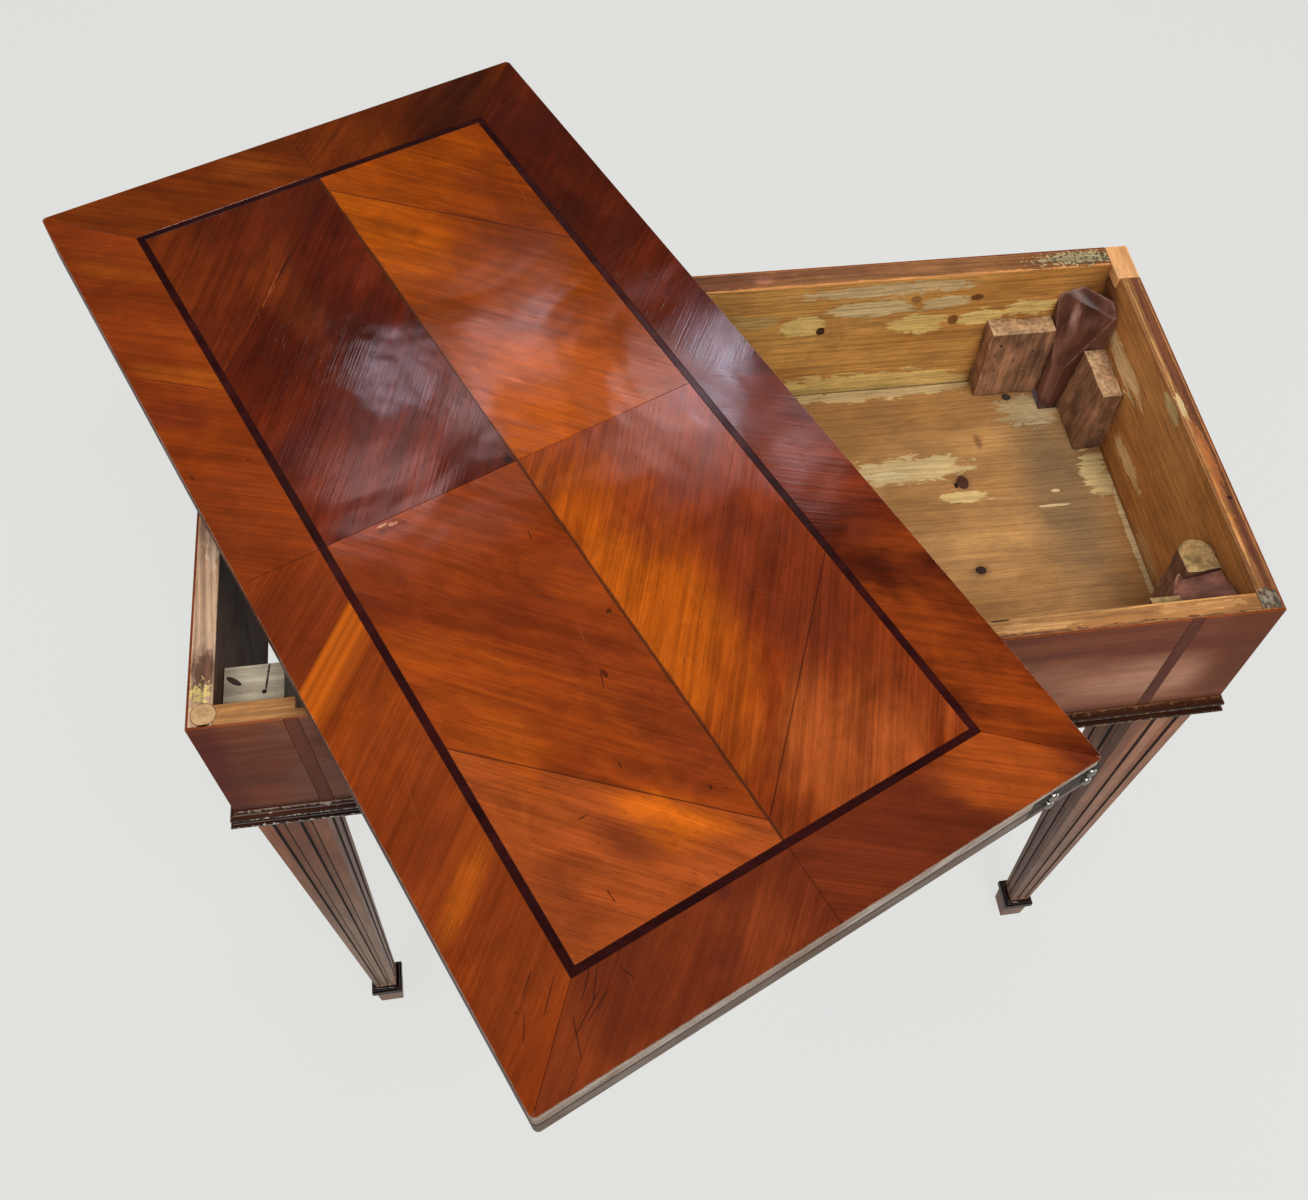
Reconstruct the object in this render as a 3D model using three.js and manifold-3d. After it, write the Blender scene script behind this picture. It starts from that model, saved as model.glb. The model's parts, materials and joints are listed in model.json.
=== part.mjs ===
// A fold-over games table: a doubled top on a frame with four tapered, fluted legs.
// The folded top swivels on a pin in the frame, and its upper leaf then unfolds.
// It stands here as seen: folded, with the top turned part of the way.
// Millimetres, +Z up, origin on the floor under the middle of the table's box.

import * as THREE from 'three';
import { mergeVertices } from 'three/addons/utils/BufferGeometryUtils.js';
import Module from 'manifold-3d';

const wasm = await Module();
wasm.setup();

// Clearances
const glueLine = 0.3; // between neighbouring pieces that are glued or screwed together
const runningGap = 0.3; // between the top and the rim that it slides over
const pinClearance = 0.2; // round a turning pin and under a screw's head
const overrun = 5; // how far a cutting shape passes through what it cuts
const roundSegments = 24; // facets of a full circle
const arcSegments = 6; // facets of a quarter circle or a bead

// Top: two leaves, one folded over the other
const leafLength = 840;
const leafWidth = 434;
const leafThickness = 19.6;
const leafCornerRadius = 4;
const leafGap = 0.4; // between the folded leaves
const topTurn = 66; // degrees, clockwise from above, away from closed
const faceVeneer = 1.2; // thickness of the veneer on the upper leaf
const borderWidth = 58.2;
const stringingWidth = 6.6;
const baizeMargin = 46; // wooden margin round the cloth inside the leaves
const baizeThickness = 0.9;

// Frame
const frameLength = 809;
const frameWidth = 394.6;
const rimHeight = 734;
const apronDrop = 139.2; // from the rim to the moulding
const frontWall = 18; // each wall counts its rail and its veneer
const backWall = 22.5;
const endWall = 18;
const apronVeneer = 1.6;
const mouldingHeight = 19.4;
const mouldingProjection = 6.3;
const upperBeadRadius = 4.5;
const lowerBeadRadius = 3.4;
const beadQuirk = 1.2; // height of the groove between the beads
const upperBeadSetback = 1.5; // behind the lower bead
const bandWidth = 10;
const bandInset = 70.5; // from the frame's end to the middle of a band
const bandThickness = 0.7;
const reliefStart = 56; // from the end rail to the relief in the front rail
const reliefWall = 8.5; // front wall left at the relief

// Legs
const legTopWidth = 55;
const legAnkleWidth = 22.2;
const legInset = 6; // behind the faces of the apron
const fluteCount = 2; // on each face
const fluteWidth = 10.5; // at the top of the leg
const fluteDepth = 3.2; // at the top of the leg
const fluteFacets = 5;
const stumpDrop = 24; // from the rim to the sawn stump in the front left corner
const domedStumpDrop = 17; // from the rim to the other stumps, where they are highest
const domeFall = 27; // from there to their inner corner
const stumpRounding = 10; // radius of the inner corner of a domed stump
const stumpRoot = 2; // how far a stump is sunk in its leg in the making
const collarWidth = 33;
const collarFilletHeight = 8;
const collarBeadRadius = 3;
const collarBeadSetback = 1.2;
const footWidth = 27;
const footHeight = 35;
const footToeWidth = 24.6;

// Well and pivot rail
const wellDepth = 144;
const wellBottomThickness = 10;
const partitionThickness = 12;
const notchGap = 4; // round a stump, in the bottom board
const pivotLeft = 97.3; // from the middle of the frame
const pivotBack = 114.7;
const pivotRailWidth = 90;
const pivotRailThickness = 24;

// Glue blocks and repairs
const rearBlockLength = 63;
const rearBlockThickness = 20;
const rearBlockDrop = 60; // from the rim to its top
const endBlockLength = 57;
const endBlockTopThickness = 20;
const endBlockFootThickness = 28;
const endBlockDrop = 69;
const roundBlockLength = 31;
const roundBlockThickness = 29;
const roundBlockDrop = 32;
const frontBlockLength = 25;
const frontBlockThickness = 22;
const frontBlockDrop = 30;
const patchLength = 40;
const patchWidth = 20.6;
const patchDepth = 12;
const plugRadius = 8.5;
const plugDepth = 25;
const plugFromEnd = 11.8; // from the frame's end to the plug's middle
const plugFromFront = 11.2;

// Pivot
const boltRadius = 9;
const pivotPlateLength = 76;
const pivotPlateWidth = 50;
const pivotPlateThickness = 3;
const nutFlangeRadius = 20;
const nutFlangeThickness = 2.5;
const nutWidth = 28; // across its flats
const nutHeight = 15.5; // with its flange
const boltTail = 3; // below the nut

// Hinges, let into both short ends of the leaves
const hingePlateLength = 58;
const hingePlateHeight = 11;
const hingePlateThickness = 2.4;
const hingePlateMargin = 1; // from the inner face of its leaf
const hingeAxisOut = 0.3; // from the hinged edge of the leaves
const knuckleRadius = 4.5;
const pinRadius = 1.5;
const pinHeadRadius = 2.4;
const pinHeadHeight = 0.9;
const hingeScrewSpacing = 34;
const hingeScrewSetback = 6.5; // from the hinged edge to the nearer screw

// Screws
const screwHeadRadius = 3.4;
const screwHeadHeight = 1.7;
const screwShankRadius = 1.6;
const screwLength = 14;

// Dependent sizes of the frame
const frameEnd = frameLength / 2;
const frameSide = frameWidth / 2;
const veneerDepth = apronVeneer + glueLine;
const insideEnd = frameEnd - endWall;
const insideFront = frameSide - frontWall;
const insideBack = frameSide - backWall;
const railDepth = apronDrop + mouldingHeight;
const railFoot = rimHeight - railDepth;
const mouldingTop = rimHeight - apronDrop;
const legTop = railFoot - glueLine;
const legFromEnd = legInset + legTopWidth / 2;
const legX = frameEnd - legFromEnd;
const legY = frameSide - legFromEnd;
const stumpInnerX = legX - legTopWidth / 2;
const stumpInnerY = legY - legTopWidth / 2;
const collarFoot = footHeight + glueLine;
const collarHeight = collarFilletHeight + 2 * collarBeadRadius;
const legFoot = collarFoot + collarHeight;
const wellBottomTop = rimHeight - wellDepth;
const pivotX = -pivotLeft;
const pivotY = pivotBack;
const pivotRailLeft = pivotX - pivotRailWidth / 2;
const pivotRailRight = pivotX + pivotRailWidth / 2;
const partitionRight = pivotRailRight;
const partitionLeft = partitionRight - partitionThickness;

// Dependent sizes of the top
const leafEnd = leafLength / 2;
const leafSide = leafWidth / 2;
const coreThickness = leafThickness - faceVeneer - glueLine;
const upperLeafFoot = leafThickness + leafGap;
const foldHeight = leafThickness + leafGap / 2;
const foldY = leafSide + hingeAxisOut;
const topFoot = rimHeight + runningGap;
const fieldEnd = leafEnd - borderWidth - stringingWidth;
const fieldSide = leafSide - borderWidth - stringingWidth;
const knuckleThickness = (hingePlateThickness - glueLine) / 2;
const turn = THREE.MathUtils.degToRad(topTurn);

// Finishes
const finish = (color, roughness, metalness = 0) =>
  new THREE.MeshStandardMaterial({ color, roughness, metalness });
const finishes = {
  rosewood: () => finish(0x7a2f1c, 0.25),
  paleField: () => finish(0xb5601c, 0.22),
  darkField: () => finish(0x7c3220, 0.22),
  border: () => finish(0x8f3d1c, 0.22),
  stringing: () => finish(0x2c1413, 0.3),
  apron: () => finish(0x6b3224, 0.28),
  moulding: () => finish(0x2a1712, 0.35),
  pine: () => finish(0xa9783a, 0.75),
  agedPine: () => finish(0x6e4a2c, 0.8),
  freshWood: () => finish(0xe3aa6a, 0.7),
  leg: () => finish(0x6a4638, 0.4),
  baize: () => finish(0x2f5b3a, 0.95),
  brass: () => finish(0xa9853f, 0.35, 1),
  iron: () => finish(0x4a4642, 0.5, 1),
};

// Solids: closed meshes joined and cut
function toSolid(geometry) {
  const bare = geometry.clone();
  bare.deleteAttribute('normal');
  bare.deleteAttribute('uv');
  const merged = mergeVertices(bare);
  const vertProperties = new Float32Array(merged.attributes.position.array);
  const triVerts = new Uint32Array(merged.index.array);
  return new wasm.Manifold(new wasm.Mesh({ numProp: 3, vertProperties, triVerts }));
}

function toGeometry(solid) {
  const mesh = solid.getMesh();
  const geometry = new THREE.BufferGeometry();
  geometry.setAttribute('position', new THREE.BufferAttribute(new Float32Array(mesh.vertProperties), 3));
  geometry.setIndex(new THREE.BufferAttribute(new Uint32Array(mesh.triVerts), 1));
  const faceted = geometry.toNonIndexed();
  faceted.computeVertexNormals();
  return faceted;
}

function cut(geometry, ...tools) {
  return toGeometry(tools.reduce((solid, tool) => solid.subtract(toSolid(tool)), toSolid(geometry)));
}

function join(geometry, ...others) {
  return toGeometry(others.reduce((solid, other) => solid.add(toSolid(other)), toSolid(geometry)));
}

function common(geometry, other) {
  return toGeometry(toSolid(geometry).intersect(toSolid(other)));
}

// Basic shapes
function block([x0, x1], [y0, y1], [z0, z1]) {
  const geometry = new THREE.BoxGeometry(x1 - x0, y1 - y0, z1 - z0);
  return geometry.translate((x0 + x1) / 2, (y0 + y1) / 2, (z0 + z1) / 2);
}

// A block that reaches from an inner to an outer line, on the side of the frame given by a sign
function sided(sign, inner, outer) {
  return sign > 0 ? [inner, outer] : [-outer, -inner];
}

function post(radius, z0, z1, x = 0, y = 0) {
  const geometry = new THREE.CylinderGeometry(radius, radius, z1 - z0, roundSegments);
  return geometry.rotateX(Math.PI / 2).translate(x, y, (z0 + z1) / 2);
}

// A round bar along X, at a place given by Y and Z
function axle(radius, x0, x1, y, z) {
  const geometry = new THREE.CylinderGeometry(radius, radius, x1 - x0, roundSegments);
  return geometry.rotateZ(-Math.PI / 2).translate((x0 + x1) / 2, y, z);
}

function slab(shape, z0, z1) {
  const geometry = new THREE.ExtrudeGeometry(shape, {
    depth: z1 - z0,
    bevelEnabled: false,
    curveSegments: arcSegments,
  });
  return geometry.translate(0, 0, z0);
}

function roundedRectangle(length, width, radius) {
  const x = length / 2;
  const y = width / 2;
  const shape = new THREE.Shape();
  shape.absarc(x - radius, y - radius, radius, 0, Math.PI / 2);
  shape.absarc(radius - x, y - radius, radius, Math.PI / 2, Math.PI);
  shape.absarc(radius - x, radius - y, radius, Math.PI, 1.5 * Math.PI);
  shape.absarc(x - radius, radius - y, radius, 1.5 * Math.PI, 2 * Math.PI);
  return shape;
}

// A strip along X with 45 degree mitres. Its section is drawn outwards and upwards, and
// its half length is taken where the section starts. The strip's outside faces -Y.
function mitredStrip(section, halfLength) {
  const geometry = new THREE.ExtrudeGeometry(section, {
    depth: 1,
    bevelEnabled: false,
    curveSegments: arcSegments,
  });
  const position = geometry.attributes.position;
  const mitreGap = glueLine * Math.SQRT1_2;
  for (let i = 0; i < position.count; i += 1) {
    const outwards = position.getX(i);
    const along = (1 - 2 * position.getZ(i)) * (halfLength - mitreGap + outwards);
    position.setXYZ(i, along, -outwards, position.getY(i));
  }
  geometry.computeVertexNormals();
  return geometry;
}

// The four sides of a rectangle, each with the turn that brings a strip to it
const rectangleSides = [
  { side: 'front', quarter: 0 },
  { side: 'right', quarter: 1 },
  { side: 'back', quarter: 2 },
  { side: 'left', quarter: 3 },
];

// A strip for one side of a rectangle, whose inner line lies at the given half sizes
function rectangleStrip(section, quarter, halfLength, halfWidth, height) {
  const lengthwise = quarter % 2 === 0;
  const strip = mitredStrip(section, lengthwise ? halfLength : halfWidth);
  strip.translate(0, lengthwise ? -halfWidth : -halfLength, height);
  return strip.rotateZ((quarter * Math.PI) / 2);
}

function rectangleSection(width, height) {
  const shape = new THREE.Shape();
  shape.moveTo(0, 0);
  shape.lineTo(width, 0);
  shape.lineTo(width, height);
  shape.lineTo(0, height);
  return shape;
}

function named(name, geometry, material) {
  const mesh = new THREE.Mesh(geometry, material);
  mesh.name = name;
  return mesh;
}

// Apron rails: the end rails run through, the long rails stand between them
function frontRail() {
  const outer = frameSide - veneerDepth;
  const span = insideEnd - glueLine;
  const rail = block([-span, span], [-outer, -insideFront], [railFoot, rimHeight]);
  const relief = block(
    [reliefStart - insideEnd, pivotRailLeft - glueLine],
    [reliefWall - frameSide, overrun - insideFront],
    [railFoot - overrun, rimHeight + overrun],
  );
  return cut(rail, relief, plugHole());
}

function backRail() {
  const outer = frameSide - veneerDepth;
  const span = insideEnd - glueLine;
  return cut(block([-span, span], [insideBack, outer], [railFoot, rimHeight]), patchSeat());
}

function endRail(sign) {
  const side = frameSide - veneerDepth;
  const across = sided(sign, insideEnd, frameEnd - veneerDepth);
  const rail = block(across, [-side, side], [railFoot, rimHeight]);
  return cut(rail, sign > 0 ? patchSeat() : plugHole());
}

// Repairs in the rim: a let-in patch at the back right and a round plug at the front left
function patchBlock(clearance) {
  return block(
    [frameEnd - patchWidth - clearance, frameEnd + (clearance ? overrun : 0)],
    [frameSide - patchLength - clearance, frameSide + (clearance ? overrun : 0)],
    [rimHeight - patchDepth - clearance, rimHeight + (clearance ? overrun : 0)],
  );
}

function patchSeat() {
  return patchBlock(glueLine);
}

function plug(radius, depth, top) {
  return post(radius, rimHeight - depth, top, plugFromEnd - frameEnd, plugFromFront - frameSide);
}

function plugHole() {
  return plug(plugRadius + glueLine, plugDepth + glueLine, rimHeight + overrun);
}

// Apron veneers. The front one has a shallow seat for each dark band.
function bandSeat(end) {
  const x = end * (frameEnd - bandInset);
  const half = bandWidth / 2 + glueLine;
  const depth = bandThickness + glueLine;
  return block(
    [x - half, x + half],
    [-frameSide - overrun, depth - frameSide],
    [mouldingTop - overrun, rimHeight + overrun],
  );
}

function apronBand(end) {
  const x = end * (frameEnd - bandInset);
  const half = bandWidth / 2;
  return block(
    [x - half, x + half],
    [-frameSide, bandThickness - frameSide],
    [mouldingTop + glueLine, rimHeight],
  );
}

function longVeneer(face) {
  const sheet = block([-frameEnd, frameEnd], sided(face, frameSide - apronVeneer, frameSide), [
    mouldingTop + glueLine,
    rimHeight,
  ]);
  return face < 0 ? cut(sheet, bandSeat(-1), bandSeat(1)) : cut(sheet, patchSeat());
}

function endVeneer(sign) {
  const span = frameSide - veneerDepth;
  const sheet = block(sided(sign, frameEnd - apronVeneer, frameEnd), [-span, span], [
    mouldingTop + glueLine,
    rimHeight,
  ]);
  return cut(sheet, patchSeat());
}

// Moulding: two beads with a quirk between, drawn from the rail's face outwards
function mouldingSection() {
  const face = apronVeneer;
  const lowerCentre = face + mouldingProjection - lowerBeadRadius;
  const upperCentre = face + mouldingProjection - upperBeadSetback - upperBeadRadius;
  const quirkFoot = 2 * lowerBeadRadius;
  const upperFoot = quirkFoot + beadQuirk;
  const upperTop = upperFoot + 2 * upperBeadRadius;
  const shape = new THREE.Shape();
  shape.moveTo(0, 0);
  shape.lineTo(lowerCentre, 0);
  shape.absarc(lowerCentre, lowerBeadRadius, lowerBeadRadius, -Math.PI / 2, Math.PI / 2);
  shape.lineTo(upperCentre, quirkFoot);
  shape.lineTo(upperCentre, upperFoot);
  shape.absarc(upperCentre, upperFoot + upperBeadRadius, upperBeadRadius, -Math.PI / 2, Math.PI / 2);
  shape.lineTo(face, upperTop);
  shape.lineTo(face, mouldingHeight);
  shape.lineTo(0, mouldingHeight);
  return shape;
}

// Legs: a fluted taper, a stump inside the corner of the frame, an ankle and a foot
function flutedSection() {
  const half = legTopWidth / 2;
  const land = (legTopWidth - fluteCount * fluteWidth) / (fluteCount + 1);
  const points = [];
  for (let face = 0; face < 4; face += 1) {
    const toFace = new THREE.Matrix4().makeRotationZ((face * Math.PI) / 2);
    const add = (x, y) => points.push(new THREE.Vector3(x, y, 0).applyMatrix4(toFace));
    add(-half, -half);
    for (let flute = 0; flute < fluteCount; flute += 1) {
      const start = -half + land + flute * (land + fluteWidth);
      for (let step = 0; step <= fluteFacets; step += 1) {
        const share = step / fluteFacets;
        add(start + share * fluteWidth, -half + fluteDepth * Math.sin(share * Math.PI));
      }
    }
  }
  return new THREE.Shape(points.map((point) => new THREE.Vector2(point.x, point.y)));
}

function taper(geometry, footScale, z0, z1) {
  const position = geometry.attributes.position;
  for (let i = 0; i < position.count; i += 1) {
    const z = position.getZ(i);
    const scale = THREE.MathUtils.mapLinear(z, z0, z1, footScale, 1);
    position.setXYZ(i, position.getX(i) * scale, position.getY(i) * scale, z);
  }
  geometry.computeVertexNormals();
  return geometry;
}

// A stump fills the corner between the rails, whose inner faces stand at the given places
function stump(signX, signY, domed) {
  const outerX = insideEnd - glueLine;
  const outerY = (signY > 0 ? insideBack : insideFront) - glueLine;
  const top = rimHeight - (domed ? domedStumpDrop : stumpDrop);
  const body = block(
    sided(signX, stumpInnerX, outerX),
    sided(signY, stumpInnerY, outerY),
    [legTop - stumpRoot, top],
  );
  if (!domed) {
    return body;
  }
  // Rounded inner corner, then a fall from the walls' corner to the inner corner
  const rounded = new THREE.Shape();
  rounded.moveTo(0, 0);
  rounded.lineTo(stumpRounding, 0);
  rounded.absarc(stumpRounding, stumpRounding, stumpRounding, -Math.PI / 2, -Math.PI, true);
  rounded.lineTo(0, 0);
  const corner = slab(rounded, legTop, rimHeight);
  const facing = Math.atan2(signY, signX) - Math.PI / 4;
  corner.rotateZ(facing).translate(signX * stumpInnerX, signY * stumpInnerY, 0);
  const reach = 2 * legTopWidth;
  const lid = new THREE.BoxGeometry(reach, reach, reach).translate(0, 0, reach / 2);
  const diagonal = Math.hypot(outerX - stumpInnerX, outerY - stumpInnerY);
  lid.rotateY(-Math.atan2(domeFall, diagonal));
  lid.rotateZ(facing + Math.PI / 4);
  lid.translate(signX * outerX, signY * outerY, top);
  return cut(body, corner, lid);
}

function leg(signX, signY, domed) {
  const height = legTop - legFoot;
  const fluted = slab(flutedSection(), legFoot, legTop);
  taper(fluted, legAnkleWidth / legTopWidth, legFoot, legFoot + height);
  const half = legAnkleWidth / 2;
  const ankle = block([-half, half], [-half, half], [footHeight / 2, legFoot + stumpRoot]);
  const toe = footToeWidth / Math.SQRT2;
  const foot = new THREE.CylinderGeometry(footWidth / Math.SQRT2, toe, footHeight, 4, 1);
  foot.rotateY(Math.PI / 4).rotateX(Math.PI / 2).translate(0, 0, footHeight / 2);
  const post = join(fluted, ankle, foot).translate(signX * legX, signY * legY, 0);
  return join(post, stump(signX, signY, domed));
}

// Collar: a square ring, a fillet with a bead on it
function collar(signX, signY) {
  const hole = legAnkleWidth / 2 + glueLine;
  const fillet = collarWidth / 2;
  const bead = fillet - collarBeadSetback - collarBeadRadius;
  const points = [new THREE.Vector2(hole, 0), new THREE.Vector2(fillet, 0)];
  points.push(new THREE.Vector2(fillet, collarFilletHeight));
  for (let step = 0; step <= arcSegments; step += 1) {
    const angle = -Math.PI / 2 + (step / arcSegments) * Math.PI;
    points.push(
      new THREE.Vector2(
        bead + collarBeadRadius * Math.cos(angle),
        collarFilletHeight + collarBeadRadius * (1 + Math.sin(angle)),
      ),
    );
  }
  points.push(new THREE.Vector2(hole, collarHeight));
  points.push(points[0].clone());
  for (const point of points) {
    point.x *= Math.SQRT2;
  }
  const ring = new THREE.LatheGeometry(points, 4, Math.PI / 4);
  return ring.rotateX(Math.PI / 2).translate(signX * legX, signY * legY, collarFoot);
}

// Well: bottom board, partition and the rail that carries the pivot
function wellBottom() {
  const board = block(
    [partitionLeft, insideEnd - glueLine],
    [glueLine - insideFront, insideBack - glueLine],
    [wellBottomTop - wellBottomThickness, wellBottomTop],
  );
  const notches = [-1, 1].map((sign) =>
    block(
      [stumpInnerX - notchGap, frameEnd],
      sided(sign, stumpInnerY - notchGap, frameSide),
      [railFoot - overrun, rimHeight],
    ),
  );
  return cut(board, ...notches);
}

function wellPartition() {
  return block(
    [partitionLeft, partitionRight],
    [glueLine - insideFront, insideBack - glueLine],
    [wellBottomTop + glueLine, rimHeight - pivotRailThickness - glueLine],
  );
}

function pivotRail() {
  const rail = block(
    [pivotRailLeft, pivotRailRight],
    [glueLine - insideFront, insideBack - glueLine],
    [rimHeight - pivotRailThickness, rimHeight],
  );
  const bore = post(
    boltRadius + glueLine,
    rimHeight - pivotRailThickness - overrun,
    rimHeight + overrun,
    pivotX,
    pivotY,
  );
  return cut(rail, bore);
}

// Glue blocks in the right-hand corners, standing on the bottom board
function rearBlock() {
  const right = stumpInnerX - glueLine;
  return block(
    [right - rearBlockLength, right],
    [insideBack - glueLine - rearBlockThickness, insideBack - glueLine],
    [wellBottomTop + glueLine, rimHeight - rearBlockDrop],
  );
}

function endBlock() {
  const wall = insideEnd - glueLine;
  const foot = wellBottomTop + glueLine;
  const top = rimHeight - endBlockDrop;
  const section = new THREE.Shape();
  section.moveTo(wall, foot);
  section.lineTo(wall, top);
  section.lineTo(wall - endBlockTopThickness, top);
  section.lineTo(wall - endBlockFootThickness, foot);
  const geometry = slab(section, 0, endBlockLength);
  return geometry.rotateX(Math.PI / 2).translate(0, stumpInnerY - glueLine, 0);
}

function roundBlock() {
  const wall = insideEnd - glueLine;
  const near = glueLine - stumpInnerY;
  const straight = roundBlockLength - roundBlockThickness / 2;
  const shape = new THREE.Shape();
  shape.moveTo(wall - roundBlockThickness, near);
  shape.lineTo(wall, near);
  shape.lineTo(wall, near + straight);
  shape.absarc(wall - roundBlockThickness / 2, near + straight, roundBlockThickness / 2, 0, Math.PI);
  return slab(shape, wellBottomTop + glueLine, rimHeight - roundBlockDrop);
}

function frontBlock() {
  const right = stumpInnerX - glueLine;
  return block(
    [right - frontBlockLength, right],
    [glueLine - insideFront, glueLine - insideFront + frontBlockThickness],
    [wellBottomTop + glueLine, rimHeight - frontBlockDrop],
  );
}

// Screw: a domed head over a plain shank. It stands on z = 0 with its head upwards.
function screw() {
  const dome = [new THREE.Vector2(0, -screwLength), new THREE.Vector2(screwShankRadius, -screwLength)];
  dome.push(new THREE.Vector2(screwShankRadius, 0));
  for (let step = 0; step <= arcSegments; step += 1) {
    const angle = (step / arcSegments) * (Math.PI / 2);
    const radius = step === arcSegments ? 0 : screwHeadRadius * Math.cos(angle);
    dome.push(new THREE.Vector2(radius, screwHeadHeight * Math.sin(angle)));
  }
  return new THREE.LatheGeometry(dome, roundSegments / 2).rotateX(Math.PI / 2);
}

function screwHole() {
  const radius = screwShankRadius + glueLine;
  return post(radius, -screwLength - glueLine, overrun);
}

// Pivot: a bolt on a plate that is let into the lower leaf, with a flanged nut under the rail.
// Heights here count from the underside of the top.
const nutTop = -(runningGap + pivotRailThickness + glueLine);
const boltFoot = nutTop - nutHeight - boltTail;

function pivotPlateSeat() {
  const halfX = pivotPlateLength / 2 + glueLine;
  const halfY = pivotPlateWidth / 2 + glueLine;
  return block([-halfX, halfX], [-halfY, halfY], [-overrun, pivotPlateThickness + glueLine]);
}

function pivotBolt() {
  const halfX = pivotPlateLength / 2;
  const halfY = pivotPlateWidth / 2;
  const plate = block([-halfX, halfX], [-halfY, halfY], [0, pivotPlateThickness]);
  const bolt = post(boltRadius, boltFoot, pivotPlateThickness / 2);
  return join(plate, bolt);
}

function pivotNut() {
  const half = nutWidth / 2;
  const square = block([-half, half], [-half, half], [nutTop - nutHeight, nutTop]);
  const flange = post(nutFlangeRadius, nutTop - nutFlangeThickness, nutTop);
  const bore = post(boltRadius + glueLine, nutTop - nutHeight - overrun, nutTop + overrun);
  return cut(join(square, flange), bore);
}

// Hinge plates stand in the end faces of the leaves. Half of the plate's thickness
// goes round the pin: the inner half on the lower plate, the outer half on the upper one.
// End is +1 or -1, level is -1 for the lower leaf and +1 for the upper one.
function hingeStrip(end, level, clearance) {
  const face = leafEnd + (clearance ? overrun : 0);
  const near = leafGap / 2 + hingePlateMargin - clearance;
  const far = leafGap / 2 + hingePlateMargin + hingePlateHeight + clearance;
  return block(
    sided(end, leafEnd - hingePlateThickness - clearance, face),
    [leafSide - hingePlateLength - clearance, leafSide + (clearance ? overrun : 0)],
    sided(level, near, far),
  ).translate(0, 0, foldHeight);
}

function aroundFold(end, radius, inner, outer) {
  const [x0, x1] = sided(end, inner, outer);
  return axle(radius, x0, x1, foldY, foldHeight);
}

function hingeScrewPlaces(end, level) {
  const height = level * (leafGap / 2 + hingePlateMargin + hingePlateHeight / 2);
  const nearY = leafSide - hingeScrewSetback;
  return [
    { end, y: nearY, z: foldHeight + height },
    { end, y: nearY - hingeScrewSpacing, z: foldHeight + height },
  ];
}

// Turns a screw to stand on an end face
function onEndFace(geometry, { end, y, z }) {
  return geometry.rotateY((end * Math.PI) / 2).translate(end * leafEnd, y, z);
}

function hingePlate(end, level) {
  const inside = leafEnd - hingePlateThickness;
  const lap = leafEnd - knuckleThickness;
  const own = level < 0 ? [inside, inside + knuckleThickness] : [lap, leafEnd];
  const other = level < 0 ? [inside + knuckleThickness, leafEnd + overrun] : [inside - overrun, lap];
  const strip = hingeStrip(end, level, 0);
  const lapped = cut(strip, aroundFold(end, knuckleRadius + glueLine, ...other));
  const eye = aroundFold(end, knuckleRadius, ...own);
  const bore = aroundFold(end, pinRadius + pinClearance, inside - overrun, leafEnd + overrun);
  const holes = hingeScrewPlaces(end, level).map((place) => onEndFace(screwHole(), place));
  return cut(join(lapped, eye), bore, ...holes);
}

function hingePin(end) {
  const inner = leafEnd - hingePlateThickness;
  const shank = aroundFold(end, pinRadius, inner, leafEnd + pinHeadHeight);
  const head = aroundFold(end, pinHeadRadius, leafEnd + pinClearance, leafEnd + pinHeadHeight);
  return join(shank, head);
}

// Room for the plates, the knuckles and the screws in the end faces of a leaf
function hingeSeats(level) {
  const seats = [];
  for (const end of [-1, 1]) {
    seats.push(hingeStrip(end, level, glueLine));
    seats.push(
      aroundFold(
        end,
        knuckleRadius + glueLine,
        leafEnd - hingePlateThickness - glueLine,
        leafEnd + overrun,
      ),
    );
    for (const place of hingeScrewPlaces(end, level)) {
      seats.push(onEndFace(screwHole(), place));
    }
  }
  return seats;
}

function hingeScrew(place) {
  return onEndFace(screw().translate(0, 0, pinClearance), place);
}

// Leaves: rounded slabs with a seat for the cloth on the inner face
function clothSeat(z0, z1) {
  const halfX = leafEnd - baizeMargin;
  const halfY = leafSide - baizeMargin;
  return block([-halfX, halfX], [-halfY, halfY], [z0, z1]);
}

function cloth(z0, z1) {
  const halfX = leafEnd - baizeMargin - glueLine;
  const halfY = leafSide - baizeMargin - glueLine;
  return block([-halfX, halfX], [-halfY, halfY], [z0, z1]);
}

function leafSlab(z0, z1) {
  return slab(roundedRectangle(leafLength, leafWidth, leafCornerRadius), z0, z1);
}

function lowerCore() {
  return cut(
    leafSlab(0, leafThickness),
    clothSeat(leafThickness - baizeThickness - glueLine, leafThickness + overrun),
    ...hingeSeats(-1),
    pivotPlateSeat().translate(pivotX, pivotY, 0),
  );
}

function upperCore() {
  return cut(
    leafSlab(upperLeafFoot, upperLeafFoot + coreThickness),
    clothSeat(upperLeafFoot - overrun, upperLeafFoot + baizeThickness + glueLine),
    ...hingeSeats(1),
  );
}

// Face of the upper leaf: a border, a line of stringing and four quarters of veneer
const faceFoot = upperLeafFoot + coreThickness + glueLine;

function borderPiece(quarter) {
  const innerX = leafEnd - borderWidth + glueLine;
  const innerY = leafSide - borderWidth + glueLine;
  const section = rectangleSection(borderWidth - glueLine, faceVeneer);
  const strip = rectangleStrip(section, quarter, innerX, innerY, faceFoot);
  return common(strip, leafSlab(faceFoot - overrun, faceFoot + overrun));
}

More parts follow.
